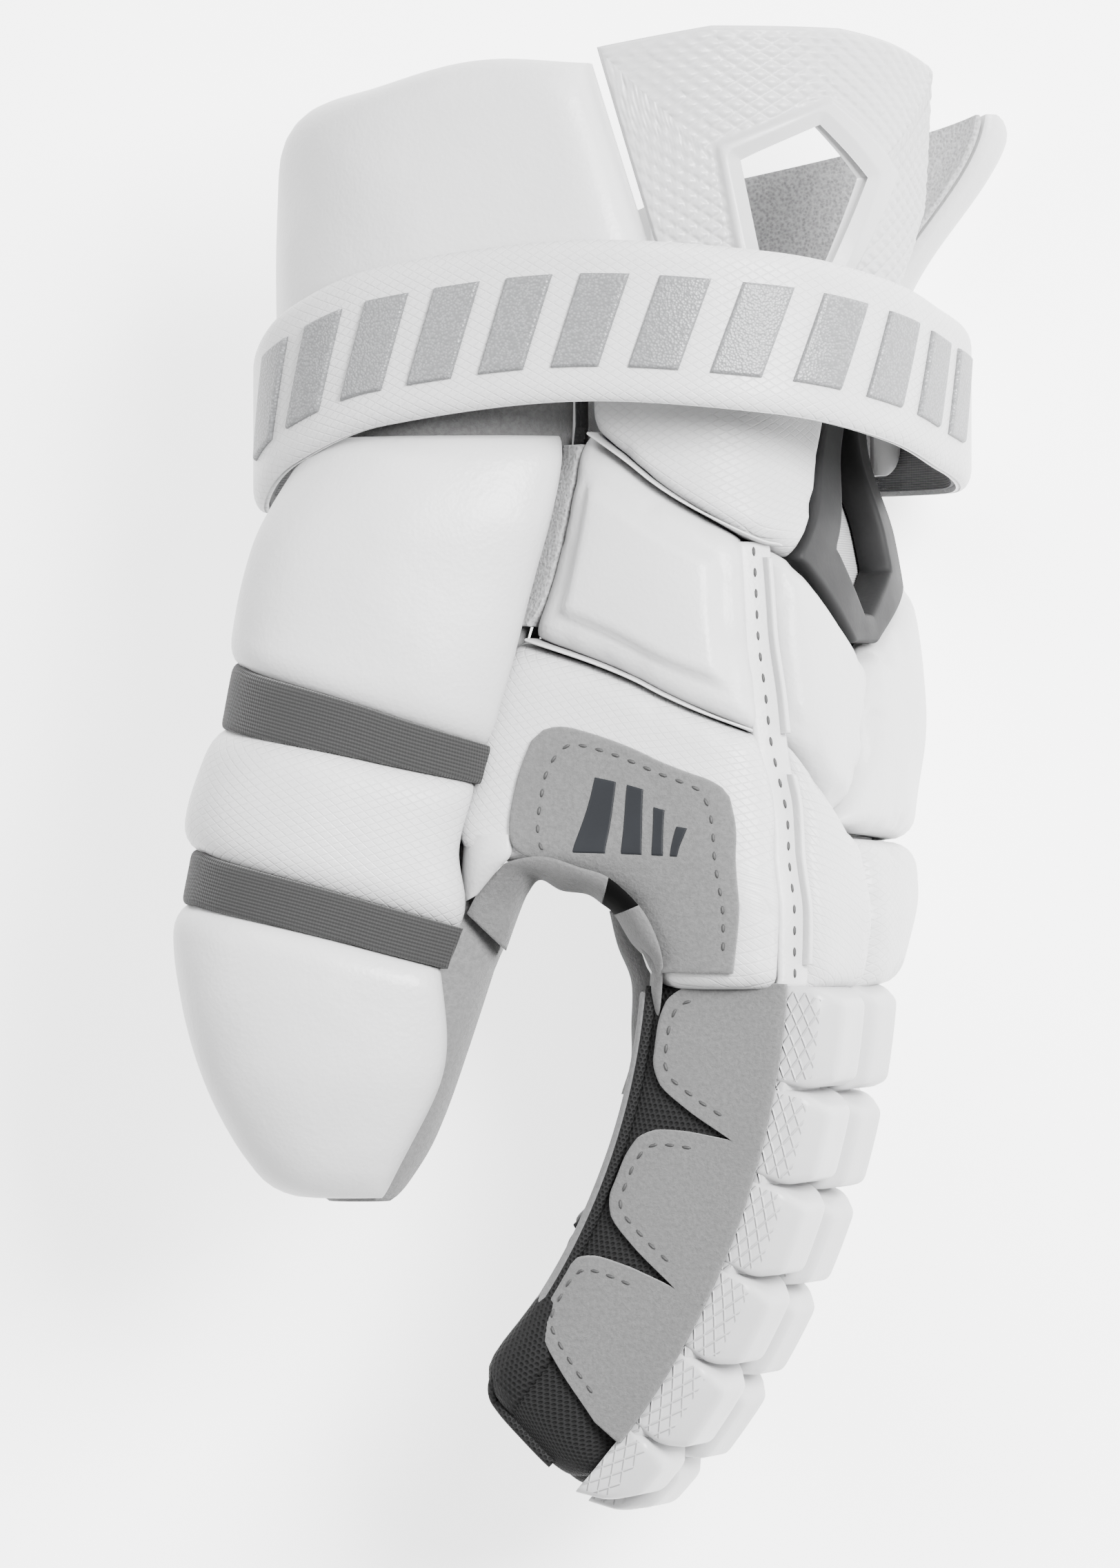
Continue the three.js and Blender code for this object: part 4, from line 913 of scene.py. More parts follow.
HAND_PADS = [
    {
        "name": "hand_pad_wrist", "material": diamond_leather,
        "rails": [
            [[0.449, 0.95], [0.449, 0.811]],
            [[0.577, 0.95], [0.577, 0.657]],
            [[0.746, 0.95], [0.621, 0.628]],
        ],
    },
    {
        "name": "hand_pad_side", "material": white_leather, "plateau": (7.5, 2.8, 3.2),
        "rails": [[[0.438, 0.8], [0.412, 0.507]], [[0.575, 0.645], [0.572, 0.365]]],
    },
    {
        "name": "hand_pad_crook", "material": diamond_leather, "lift": WEB_GAP,
        "rails": [
            [[0.405, 0.49], [0.405, 0.35], [0.407, 0.2], [0.424, 0.11], [0.434, -0.012]],
            [[0.569, 0.355], [0.573, 0.262], [0.56, 0.168], [0.547, 0.075], [0.535, -0.012]],
        ],
    },
    {
        "name": "hand_pad_back_upper", "material": white_leather, "puckers": 1.0,
        "rails": [
            [[0.592, 0.632], [0.591, 0.36]],
            [[0.609, 0.616], [0.611, 0.32]],
            [[0.655, 0.535], [0.627, 0.278]],
            [[0.708, 0.455], [0.692, 0.385], [0.679, 0.31], [0.642, 0.238]],
        ],
    },
    {
        "name": "hand_pad_back_lower", "material": diamond_leather, "puckers": 1.0,
        "rails": [
            [[0.592, 0.345], [0.592, 0.26], [0.581, 0.17], [0.57, 0.08], [0.562, -0.012]],
            [[0.64, 0.224], [0.635, 0.15], [0.63, 0.08], [0.625, -0.012]],
            [[0.67, 0.2], [0.663, 0.14], [0.66, 0.07], [0.66, -0.012]],
        ],
    },
    {
        "name": "hand_pad_outer_upper", "material": white_leather, "puckers": 1.0,
        "rails": [
            [[0.722, 0.462], [0.706, 0.395], [0.694, 0.31], [0.656, 0.23]],
            [[0.757, 0.487], [0.735, 0.35], [0.7, 0.216]],
            [[0.845, 0.553], [0.815, 0.21]],
            [[0.93, 0.62], [0.93, 0.205]],
        ],
    },
    {
        "name": "hand_pad_outer_lower", "material": diamond_leather, "puckers": 1.0,
        "rails": [
            [[0.684, 0.2], [0.673, 0.1], [0.672, -0.012]],
            [[0.93, 0.19], [0.93, 0.1], [0.93, -0.012]],
        ],
    },
    {
        "name": "hand_pad_little_upper", "material": white_leather, "puckers": 0.4,
        "rails": [[[0.936, 0.69], [0.936, 0.36]], [[1.12, 0.69], [1.12, 0.36]]],
    },
    {
        "name": "hand_pad_little_lower", "material": white_leather, "puckers": 0.4,
        "rails": [[[0.936, 0.35], [0.936, -0.012]], [[1.12, 0.35], [1.12, -0.012]]],
    },
]
for row in HAND_PADS:
    settings = {"lift": SEAM_GAP, "radius": 6.5, "edge": 0.3, "crown": 1.6, "dents": 0.4, "puckers": 0.6, **row}
    name = settings.pop("name")
    pad(name + "_leather", on_hand, replaces=[name], thickness=HAND_PAD, grow=0.8, **settings)

STRIP_LIFT = 1.8
STRIP_DROP = 3.2
STRIP_RAIL = [
    [0.577, 0.64], [0.575, 0.5], [0.574, 0.36], [0.577, 0.25], [0.566, 0.165], [0.554, 0.08], [0.543, -0.012],
]


def beside(rail, width):
    """The same rail further round."""
    return [[turn + width, at] for turn, at in rail]


trim("edge_strip_leather", on_hand, [beside(STRIP_RAIL, -0.0045), beside(STRIP_RAIL, 0.018)], STRIP_LIFT,
     HAND_PAD - STRIP_DROP, white_leather, radius=1.4, edge=0.8, grow=0.4, dents=0.3, replaces=["edge_strip"],
     fill=0.4)

# Suede patch in the crook of the thumb, with its stitches and printed bars
PATCH_RAILS = np.array([
    [[0.43, 0.38], [0.424, 0.28], [0.428, 0.17], [0.445, 0.09], [0.462, 0.008]],
    [[0.547, 0.285], [0.545, 0.225], [0.537, 0.165], [0.527, 0.09], [0.516, 0.008]],
])
PATCH_LIFT = WEB_GAP + HAND_PAD + 0.9
PATCH_CORNER = 0.12
PATCH_CORNER_DEPTH = 0.075
PATCH_STITCHES = [
    [0.075, 0.46], [0.08, 0.3], [0.085, 0.16], [0.12, 0.075], [0.2, 0.055], [0.5, 0.06], [0.83, 0.07],
    [0.89, 0.14], [0.9, 0.3], [0.9, 0.6], [0.9, 0.93],
]
PATCH_BARS = [
    {"from": 0.2, "to": 0.3, "start": 0.17},
    {"from": 0.36, "to": 0.46, "start": 0.17},
    {"from": 0.52, "to": 0.6, "start": 0.24},
    {"from": 0.66, "to": 0.72, "start": 0.31},
]
PATCH_BAR_END = 0.46
PATCH_BAR_SLOPE = 0.05


def on_patch(share, along):
    """Turn and at of places on the patch, share of the way across it."""
    left, right = PATCH_RAILS
    return on_rail(left + (right - left) * share, along)


# Each rail starts lower where the two upper corners are rounded.
corner_shares = np.linspace(0, PATCH_CORNER, 6)
patch_shares = np.concatenate([corner_shares, np.linspace(PATCH_CORNER, 1 - PATCH_CORNER, 6)[1:-1],
                               np.linspace(1 - PATCH_CORNER, 1, 6)])
patch_rails = []
for share in patch_shares:
    near = max(0.0, (PATCH_CORNER - min(share, 1 - share)) / PATCH_CORNER)
    start = PATCH_CORNER_DEPTH * (1 - math.sqrt(1 - near * near))
    patch_rails.append(on_patch(share, np.linspace(start, 1, 12)))
patch_rails = np.array(patch_rails)
even_rails = [
    [[np.interp(share, patch_shares, patch_rails[:, i, k]) for k in range(2)] for i in range(12)]
    for share in np.linspace(0, 1, 41)
]
trim("crook_patch_suede", on_hand, even_rails, PATCH_LIFT, SUEDE, light_suede, radius=1.2, edge=0.5, dents=0.1,
     slot="suede", replaces=["crook_patch"], rests_on=["hand_pad_crook_leather"])
patch_marks = on_rail(PATCH_STITCHES, np.linspace(0, 1, 120))
patch_spots = np.array([on_patch(share, [along])[0] for share, along in patch_marks])
patch_path = on_hand(patch_spots[:, 0], patch_spots[:, 1], PATCH_LIFT + SUEDE + 0.05)
stitches("crook_patch_stitches", [patch_path], length=2.0, pitch=4.2, radius=0.4)
for i, bar in enumerate(PATCH_BARS):
    bar_rails = [
        [
            on_patch(share + PATCH_BAR_SLOPE, [bar["start"]])[0],
            on_patch(share - PATCH_BAR_SLOPE, [PATCH_BAR_END])[0],
        ]
        for share in (bar["from"], bar["to"])
    ]
    trim(f"crook_patch_bar_{i + 1}", on_hand, bar_rails, PATCH_LIFT + SUEDE - 0.15, 0.45, dark_print,
         radius=0.6, edge=0.4, slot="print", fill=1.0)

# Edges of sewn layers, standing up between two pads
SEAM_EDGE = {"radius": 0.5, "edge": 0.9, "step": 1.3, "fill": 0.1}
SEAM_RAILS = {
    "wrist": [[0.449, 0.808], [0.513, 0.733], [0.577, 0.655], [0.6, 0.64]],
    "crook": [[0.412, 0.502], [0.49, 0.436], [0.5665, 0.3665]],
}
for name, rail in SEAM_RAILS.items():
    low = [[turn, at - 0.0045] for turn, at in rail]
    trim(f"hand_seam_edge_{name}", on_hand, [rail, low], WEB_GAP, HAND_PAD - 1.2, white_leather,
         dents=0.3, **SEAM_EDGE)
BACK_SEAM = [[0.588, 0.62], [0.587, 0.36]]
STRIP_SEAM = [[0.588, 0.3], [0.588, 0.25], [0.577, 0.165], [0.566, 0.08], [0.558, 0.02]]
for name, rail, low in (("back", BACK_SEAM, 1.2), ("strip", STRIP_SEAM, 1.4)):
    trim(f"hand_seam_edge_{name}", on_hand, [rail, beside(rail, 0.0035)], WEB_GAP, HAND_PAD - low, white_leather,
         dents=0.25, **SEAM_EDGE)
FLEECE_SEAM = [[0.4385, 0.79], [0.43, 0.7], [0.417, 0.56], [0.409, 0.52]]
trim("hand_seam_fleece", on_hand, [FLEECE_SEAM, beside(FLEECE_SEAM, -0.02)], 0.0, HAND_PAD, grey_fleece,
     dents=0.25, slot="lining", **SEAM_EDGE)
spots = on_rail(beside(STRIP_RAIL, 0.005), np.linspace(0, 1, 200))
strip_path = on_hand(spots[:, 0], spots[:, 1], STRIP_LIFT + HAND_PAD - STRIP_DROP + 0.1)
stitches("edge_strip_stitches", [strip_path], length=2.2, pitch=5.0, radius=0.4, slot="leather")

# Palm and the crook's edges
PALM_ATS = [0.95, 0.8, 0.66, 0.53, 0.405, 0.3, 0.235, 0.19, 0.155, 0.12, 0.07, 0.01]
palm_rails = [[[turn, at] for at in PALM_ATS] for turn in (0.134, 0.343)]
trim("palm_suede_sheet", on_hand, palm_rails, PALM_GAP, SUEDE, palm_suede, radius=1.5, edge=0.5, step=2.0,
     dents=0.3, slot="suede", replaces=["palm"], rests_on=["hand_tube"])
BINDING_RAILS = [
    [[0.355, 0.19], [0.354, 0.16], [0.356, 0.12], [0.36, 0.07], [0.366, 0.01]],
    [[0.394, 0.19], [0.394, 0.16], [0.398, 0.12], [0.408, 0.07], [0.415, 0.01]],
]
trim("crook_binding_suede", on_hand, BINDING_RAILS, WEB_GAP, 1.8, grey_suede, radius=2.5, crown=0.3, edge=0.4,
     grow=0.2, dents=0.3, slot="suede", replaces=["crook_binding"], rests_on=["hand_tube"])
BAND = [
    [
        [-83.0, -31.0, 91.0], [-80.0, -25.5, 93.5], [-75.6, -20.6, 98.0], [-72.7, -18.4, 102.0],
        [-64.7, -17.2, 106.5], [-56.2, -19.7, 108.8], [-49.2, -22.2, 110.0], [-42.1, -28.7, 111.3],
        [-38.5, -34.8, 113.0], [-36.6, -40.9, 113.6], [-36.4, -47.0, 105.0], [-37.0, -55.0, 99.0],
    ],
    [
        [-73.6, -40.0, 83.0], [-70.4, -31.0, 84.0], [-68.2, -26.0, 85.0], [-65.3, -23.0, 86.0],
        [-60.4, -25.5, 88.0], [-54.3, -26.4, 89.0], [-50.7, -28.7, 90.0], [-47.8, -31.2, 91.0],
        [-43.8, -37.8, 92.0], [-39.5, -43.0, 92.5], [-39.3, -50.5, 92.5], [-38.0, -57.0, 92.5],
    ],
]
TAB_START, TAB_END = 0.545, 0.636
FOLD = [
    [
        [-42.0, -30.5, 90.0], [-36.8, -39.8, 89.5], [-35.2, -49.8, 89.0],
        [-35.4, -58.9, 88.5], [-37.0, -66.5, 88.0], [-40.2, -73.2, 87.0],
    ],
    [
        [-48.9, -30.5, 80.0], [-46.9, -38.8, 79.0], [-43.6, -47.5, 78.0],
        [-43.6, -58.0, 78.0], [-43.7, -66.5, 78.0], [-46.0, -74.5, 78.0],
    ],
]
CORNER = [
    [[-72.0, -12.0, 101.0], [-72.5, -17.0, 101.0], [-75.5, -20.4, 98.5], [-80.5, -26.5, 93.0]],
    [[-83.6, -12.0, 88.0], [-84.0, -17.5, 87.5], [-84.2, -22.5, 87.0], [-84.2, -28.6, 86.0]],
]
rolled_edge("crook_band_suede", *BAND, 0, TAB_START, 60, band_suede)
rolled_edge("crook_tab", *BAND, TAB_START, TAB_END, 14, black_cloth, slot="lining")
rolled_edge("crook_band_suede_lower", *BAND, TAB_END, 1, 46, band_suede)
# The palm fold takes the darker suede copy: painted shade.
rolled_edge("palm_fold_suede", *FOLD, 0, 1, 50, fold_suede, sweep=1.9)
rolled_edge("crook_corner_leather", *CORNER, 0, 1, 40, white_leather, slot="leather")

# Thumb
thumb_ats = np.concatenate([np.linspace(1, 0.1, 60), np.linspace(0.09, 0.012, 16)])
sleeve("thumb_tube", on_thumb, thumb_ats, 72, 1.8, grey_suede, "suede", ["thumb_body"], tipped=True)
THUMB_PADS = [
    ("upper", white_leather, [
        [[0.2, 0.9], [0.2, 0.645]],
        [[0.3, 0.9], [0.3, 0.635]],
        [[0.645, 0.9], [0.65, 0.545]],
    ]),
    ("middle", diamond_leather, [
        [[0.2, 0.57], [0.2, 0.425]],
        [[0.3, 0.562], [0.3, 0.42]],
        [[0.645, 0.499], [0.615, 0.335]],
    ]),
    ("tip", white_leather, [
        [[0.2, 0.365], [0.19, 0.2], [0.16, 0.02]],
        [[0.3, 0.357], [0.3, 0.2], [0.3, 0.02]],
        [[0.605, 0.287], [0.63, 0.16], [0.575, 0.02]],
    ]),
]
THUMB_BANDS = {
    "upper": [[[0.2, 0.64], [0.2, 0.575]], [[0.3, 0.63], [0.3, 0.567]], [[0.648, 0.541], [0.648, 0.503]]],
    "lower": [[[0.2, 0.42], [0.2, 0.37]], [[0.3, 0.415], [0.3, 0.362]], [[0.612, 0.331], [0.607, 0.291]]],
}
for name, material, rails in THUMB_PADS:
    pad(f"thumb_pad_{name}_leather", on_thumb, rails, THUMB_GAP, THUMB_PAD, material, edge=0.25, crown=2.2,
        grow=0.7, dents=0.35, replaces=[f"thumb_pad_{name}"])
for name, rails in THUMB_BANDS.items():
    trim(f"thumb_band_{name}_elastic", on_thumb, rails, 2.1, THUMB_PAD - 1.6, grey_elastic, radius=2.0, edge=0.85,
         grow=1.0, dents=0.1, slot="elastic", replaces=[f"thumb_band_{name}"], fill=0.1)

# Fingers
PIPING_TURN = 0.352
PIPING_RADIUS = 1.35
fingers = [Finger(index) for index in range(4)]
index_finger = fingers[0]
for number, finger in enumerate(fingers, 1):
    stall = f"finger_stall_{number}"
    ats = np.unique(np.round([*np.linspace(0, 0.92, 50), *finger.rounding(0.1, math.pi / 2, 10)], 5))
    sleeve(stall + "_mesh", finger.surface, ats, 72, 1.6, dark_mesh, "mesh", [stall], tipped=True)
    palm_strip = [[[0.15, 0.03], [0.15, 0.89]], [[0.35, 0.03], [0.35, 0.89]]]
    trim(f"finger_palm_{number}_suede", finger.surface, palm_strip, 1.0, SUEDE, palm_suede, radius=1.5, edge=0.5,
         step=1.6, dents=0.1, slot="suede", replaces=[f"finger_palm_{number}"], rests_on=[stall + "_mesh"])
TIP_RAILS = [[[0.24, 0.7], [0.24, 0.985]], [[0.44, 0.72], [0.44, 0.985]]]
trim("index_tip_mesh", index_finger.surface, TIP_RAILS, -0.3, 3.4, dark_mesh, radius=16.0, crown=0.6, edge=0.08,
     dents=1.4, slot="mesh", fill=0.3)
# Piping along the palm edge of each finger's side, and round the tip of the index finger
for number, finger in enumerate(fingers, 1):
    ats = np.unique([*np.linspace(0.015, 0.93, 60), *finger.rounding(0.2, 1.5, 12)])
    path = finger.surface(PIPING_TURN, ats, PIPING_RADIUS * 0.55)
    if finger is index_finger:
        tip = finger.surface(PIPING_TURN + np.linspace(0, 0.26, 14)[1:], 0.995, PIPING_RADIUS * 0.3)
        path = np.concatenate([path, tip])
    else:
        path = path[:-14]
    tube(f"finger_piping_{number}", path, PIPING_RADIUS, piping_mesh, 12, "mesh")

# Moulded blocks on the backs of the fingers
BLOCK_SHOULDER = 0.62
BLOCK_TOP = 0.62
BLOCK_CHAMFER = 2.6
BLOCK_EDGE = 1.7
BLOCK_GAP = 0.5
FIRST_BLOCK_REACH = 1.5
LAST_BLOCK_HEIGHT = 0.84
LAST_BLOCK_SLOPE = 0.55
WEB_HEIGHT = 5.0
WEB_HALF_LENGTH = 4


def rounded_block(name, finger, along_from, along_to, foot, height, half, chamfer, bevel, replaces=(),
                  end_slope=0.0):
    """Block on the back of a finger: straight sides, then a chamfer to a flat top, all its edges rounded."""
    shape = bmesh.new()
    layers = []
    for up, inset, side in ((0.0, 0.0, 1.0), (BLOCK_SHOULDER * height, 0.0, 1.0), (height, chamfer, BLOCK_TOP)):
        corners = [
            (along_from + inset, -half * side, foot + up),
            (along_to - inset - end_slope * up, -half * side, foot + up),
            (along_to - inset - end_slope * up, half * side, foot + up),
            (along_from + inset, half * side, foot + up),
        ]
        layers.append([shape.verts.new(corner) for corner in corners])
    for a, b in zip(layers, layers[1:]):
        for j in range(4):
            k = (j + 1) % 4
            shape.faces.new([a[j], a[k], b[k], b[j]])
    shape.faces.new(layers[-1])
    shape.faces.new(layers[0][::-1])
    bmesh.ops.recalc_face_normals(shape, faces=shape.faces)
    sharp = [edge for edge in shape.edges if max(v.co.z for v in edge.verts) > foot + 0.01]
    bmesh.ops.bevel(shape, geom=sharp, offset=bevel, segments=4, profile=0.5, affect="EDGES")
    long_edges = [edge for edge in shape.edges if edge.calc_length() > 4]
    bmesh.ops.subdivide_edges(shape, edges=long_edges, cuts=3, use_grid_fill=True)
    shape.verts.index_update()
    shape.normal_update()
    points = np.array([v.co[:] for v in shape.verts])
    faces = [[v.index for v in face.verts] for face in shape.faces]
    on_side = [abs(face.normal.y) > 0.9 for face in shape.faces]
    shape.free()
    placed = finger.place(points[:, 0], points[:, 2], points[:, 1])
    uv = np.stack([points[:, 2], points[:, 0]], axis=-1) / 10
    piece = mesh_object(name, [placed], faces, moulded_white, uv=uv, turned=False, slot="moulded",
                        replaces=replaces)
    piece.data.materials.append(moulded_diamonds)
    piece.data.polygons.foreach_set("material_index", [int(side) for side in on_side])
    piece.data.update()


for number, finger in enumerate(fingers, 1):
    pitch = finger.length / BLOCK_COUNT
    foot = finger.depth + 0.4
    half = FINGER_WIDTH / 2 - 0.3
    for i in range(BLOCK_COUNT):
        last = i == BLOCK_COUNT - 1
        height = BLOCK_HEIGHT * finger.block * (LAST_BLOCK_HEIGHT if last else 1.0)
        start = i * pitch + BLOCK_GAP - (0 if i else FIRST_BLOCK_REACH)
        rounded_block(
            f"finger_{number}_block_{i + 1}", finger, start, (i + 1) * pitch - BLOCK_GAP, foot, height, half,
            BLOCK_CHAMFER, BLOCK_EDGE, [] if i else [f"finger_armour_{number}"], LAST_BLOCK_SLOPE if last else 0.0,
        )
    for i in range(1, BLOCK_COUNT):
        rounded_block(
            f"finger_{number}_web_{i}", finger, i * pitch - WEB_HALF_LENGTH, i * pitch + WEB_HALF_LENGTH, foot,
            WEB_HEIGHT * finger.block, half - 0.5, 0.5, 0.6,
        )

# Side flap of the index finger
LOBE = {
    "at": [0.0, 0.03, 0.09, 0.2, 0.38, 0.6, 0.76, 0.89, 1.0],
    "reach": [0.27, 0.6, 0.84, 0.96, 1.0, 0.99, 0.9, 0.62, 0.22],
}
LOBE_COUNT = 3
LOBE_SIZES = {"at": [0.0, 0.33, 0.5, 0.72, 1.0], "size": [0.98, 1.0, 1.03, 1.12, 1.12]}
FLAP_SEAM = 19.6
FLAP_REACH = 32.4
FLAP_START = -0.012
FLAP_END = 0.868
FLAP_STITCH_INSET = 3.6


def flap_reach(share):
    """Reach of the flap from its seam towards the palm, in millimetres."""
    size = column(LOBE_SIZES, "size", share)
    return FLAP_REACH * size * column(LOBE, "reach", (np.asarray(share) * LOBE_COUNT) % 1.0)


def on_side(share, reach, lift):
    """Point over the side of the index finger, share of the way down the flap."""
    across = FLAP_SEAM - reach
    sunk = np.clip(-across / index_finger.depth, 0, 0.985) ** FINGER_SQUARENESS
    high = FINGER_WIDTH / 2 * (1 - sunk) ** (1 / FINGER_SQUARENESS)
    along = (FLAP_START + (FLAP_END - FLAP_START) * share) * index_finger.length
    return index_finger.place(along, across, high + lift)


phases = np.concatenate([np.linspace(0, 0.12, 14), np.linspace(0.15, 0.9, 24), np.linspace(0.92, 0.9999, 8)])
shares = np.concatenate([(lobe + phases) / LOBE_COUNT for lobe in range(LOBE_COUNT)])
across = np.concatenate([[0.0, 0.012], np.linspace(0.03, 0.96, 16), [0.985, 1.0]])
share_grid = np.broadcast_to(shares[:, None], (len(shares), len(across)))
reach_grid = flap_reach(shares)[:, None] * across[None]
rim = np.minimum(across, 1 - across)[None] * FLAP_REACH
thick = np.broadcast_to(SUEDE * np.clip(rim / 0.5, 0.4, 1.0), reach_grid.shape)
top = on_side(share_grid, reach_grid, 0.5 + thick)
under = on_side(share_grid, reach_grid, 0.3)
flap = mesh_object("index_flap_suede", [top, under], shell_faces(*reach_grid.shape), light_suede, slot="suede",
                   replaces=["index_flap"])
declare_sheet(top, ["finger_stall_1_mesh"])

flap_length = (FLAP_END - FLAP_START) * index_finger.length
stitch_runs = []
for lobe in range(LOBE_COUNT):
    first = 0.02 if lobe else 0.06
    marks = (lobe + np.linspace(first, 0.97, 60)) / LOBE_COUNT
    reach = flap_reach(marks)
    ahead = np.gradient(np.stack([marks * flap_length, reach], axis=-1), axis=0)
    ahead /= np.linalg.norm(ahead, axis=1)[:, None]
    inner = marks + FLAP_STITCH_INSET * ahead[:, 1] / flap_length
    inner_reach = np.maximum(reach - FLAP_STITCH_INSET * np.abs(ahead[:, 0]), 5.0)
    stitch_runs.append(on_side(inner, inner_reach, 0.5 + SUEDE + 0.05))
stitches("index_flap_stitches", stitch_runs, length=2.2, pitch=4.0, radius=0.38)

# Wrist insert
INSERT = [
    [[0.725, 0.86], [0.619, 0.622], [0.69, 0.497], [0.75, 0.497], [0.868, 0.586], [0.862, 0.86]],
    [[0.789, 0.86], [0.678, 0.638], [0.722, 0.541], [0.742, 0.541], [0.812, 0.61], [0.806, 0.86]],
]
insert_rails = []
for outline in np.array(INSERT):
    # More control points on the same straight stretches keep the corners.
    corners = np.arange(len(outline))
    marks = np.linspace(0, len(outline) - 1, 61)
    insert_rails.append(np.stack([np.interp(marks, corners, outline[:, k]) for k in range(2)], axis=-1))
trim("wrist_insert_frame", on_hand, insert_rails, SEAM_GAP, 8.0, dark_plastic, radius=1.4, edge=0.72, slot="insert",
     replaces=["wrist_insert"], fill=1.0)

# Cuff
THUMB_SIDE_RAILS = [
    [[0.2, 0.17], [0.27, 0.16], [0.315, 0.16], [0.35, 0.285], [0.45, 0.285], [0.58, 0.285]],
    [[0.2, 0.4], [0.27, 0.62], [0.33, 0.82], [0.4, 0.88], [0.465, 0.93], [0.53, 0.915]],
]
PALM_SIDE_RAILS = [[[0.035, 0.0], [0.192, 0.0]], [[0.035, 0.66], [0.192, 0.4]]]
LITTLE_SIDE_RAILS = [[[0.858, 0.0], [1.01, 0.0]], [[0.858, 0.845], [1.01, 0.72]]]
pad("cuff_pad_thumb_leather", on_cuff, THUMB_SIDE_RAILS, 0.0, CUFF_THUMB_PAD, white_leather, radius=10.0, crown=1.0,
    edge=0.25, grow=0.3, step=2.0, replaces=["cuff_pad_thumb"])
pad("cuff_pad_palm_leather", on_cuff, PALM_SIDE_RAILS, 0.0, CUFF_PANEL, white_leather, radius=7.0, crown=0.8,
    edge=0.25, grow=0.2, step=2.0, replaces=["cuff_pad_palm"])
trim("cuff_fleece_layer", on_leaning_panel, LITTLE_SIDE_RAILS, 0.0, FLEECE, grey_fleece, radius=2.5, edge=0.4,
     grow=0.2, step=1.6, dents=0.3, slot="lining", replaces=["cuff_fleece"], fill=0.5)
pad("cuff_pad_little_leather", on_leaning_panel, LITTLE_SIDE_RAILS, FLEECE + 0.2, CUFF_PANEL - FLEECE + 3.4,
    white_leather, crown=1.2, edge=0.3, grow=0.4, step=1.8, replaces=["cuff_pad_little"])

# Plate on the back of the cuff, with its kite opening and raised rim
KITE_WIDTH = 30.4
KITE_HEIGHT = 47.8
KITE_X = -3.0
KITE_FOOT_Y = 108.0
KITE_HOLE = [[0.12, 1], [-0.5, 0.82], [-0.35, 0.36], [-0.21, 0], [-0.02, 0], [0.2, 0.3], [0.5, 0.75]]
KITE_RIM = [
    [0.2, 1.13], [-0.69, 0.89], [-0.53, 0.36], [-0.345, -0.085], [0.115, -0.085], [0.38, 0.27], [0.74, 0.8],
]
SHELL_OUTLINE = [
    [0.588, 0.24], [0.534, 0.955], [0.6, 1.0], [0.676, 1.0],
    [0.74, 0.97], [0.788, 0.945], [0.77, 0.6], [0.69, 0.23],
]
turns = np.linspace(0.5, 0.85, 700)
rising = np.maximum.accumulate(on_cuff(turns, 0.5, CUFF_SHELL) @ ACROSS)
cuff_run = steps_along(on_cuff(np.arange(721) / 720, 0.5, 0.0)).sum()


def kite(shares):
    """Outline in the front view, as run round the cuff and y, both in millimetres."""
    shares = np.array(shares)
    turn = np.interp(KITE_X + shares[:, 0] * KITE_WIDTH, rising, turns)
    return np.stack([turn * cuff_run, KITE_FOOT_Y + shares[:, 1] * KITE_HEIGHT], axis=-1)

def away_from(outline, points):
    """Signed distance to a closed outline, negative inside it."""
    a = outline
    b = np.roll(outline, -1, axis=0)
    best = np.full(points.shape[:-1], 1e9)
    inside = np.zeros(points.shape[:-1], bool)
    for p, q in zip(a, b):
        edge = q - p
        t = np.clip(((points - p) @ edge) / (edge @ edge + 1e-12), 0, 1)
        gap = np.linalg.norm(points - p - t[..., None] * edge, axis=-1)
        best = np.minimum(best, gap)
        crosses = (p[1] > points[..., 1]) != (q[1] > points[..., 1])
        x = (q[0] - p[0]) * (points[..., 1] - p[1]) / (q[1] - p[1] + 1e-12) + p[0]
        inside ^= crosses & (points[..., 0] < x)
    return np.where(inside, -best, best)


hole = kite(KITE_HOLE)
rim = kite(KITE_RIM)
shell = np.array([[turn * cuff_run, CUFF_BASE_Y + at * CUFF_LENGTH] for turn, at in SHELL_OUTLINE])
# The plate is laid out between its outline and the opening, along rays from the opening's middle.
centre = hole.mean(axis=0)
angles = np.linspace(-math.pi, math.pi, 321)[:-1]


def ray_to(outline, angle):
    """Distance from the centre to an outline along one direction."""
    direction = np.array([math.cos(angle), math.sin(angle)])
    far = 0.0
    for p, q in zip(outline, np.roll(outline, -1, axis=0)):
        edge = q - p
        cross = direction[0] * edge[1] - direction[1] * edge[0]
        if abs(cross) < 1e-9:
            continue
        t = ((p - centre)[0] * edge[1] - (p - centre)[1] * edge[0]) / cross
        s = ((p - centre)[0] * direction[1] - (p - centre)[1] * direction[0]) / cross
        if t > 0 and -1e-9 <= s <= 1 + 1e-9:
            far = max(far, t)
    return far


corner_angles = [math.atan2(*(point - centre)[::-1]) for point in np.vstack([hole, shell])]
angles = np.unique(np.concatenate([angles, corner_angles]))
near = np.array([ray_to(hole, angle) for angle in angles])
far = np.array([ray_to(shell, angle) for angle in angles])
shares = np.concatenate([[0, 0.006, 0.02], np.linspace(0.04, 0.975, 90), [0.988, 1.0]])
reach = near[:, None] + (far - near)[:, None] * shares[None]
plane = centre + reach[..., None] * np.stack([np.cos(angles), np.sin(angles)], axis=-1)[:, None]
from_hole = away_from(hole, plane)
from_rim = away_from(rim, plane)
from_edge = -away_from(shell, plane)
PITCH_ROUND = 5.4
PITCH_UP = 3.6
a = plane[..., 0] / PITCH_ROUND
b = plane[..., 1] / PITCH_UP
crest = np.maximum(np.abs((a + b) % 1 - 0.5), np.abs((a - b) % 1 - 0.5))
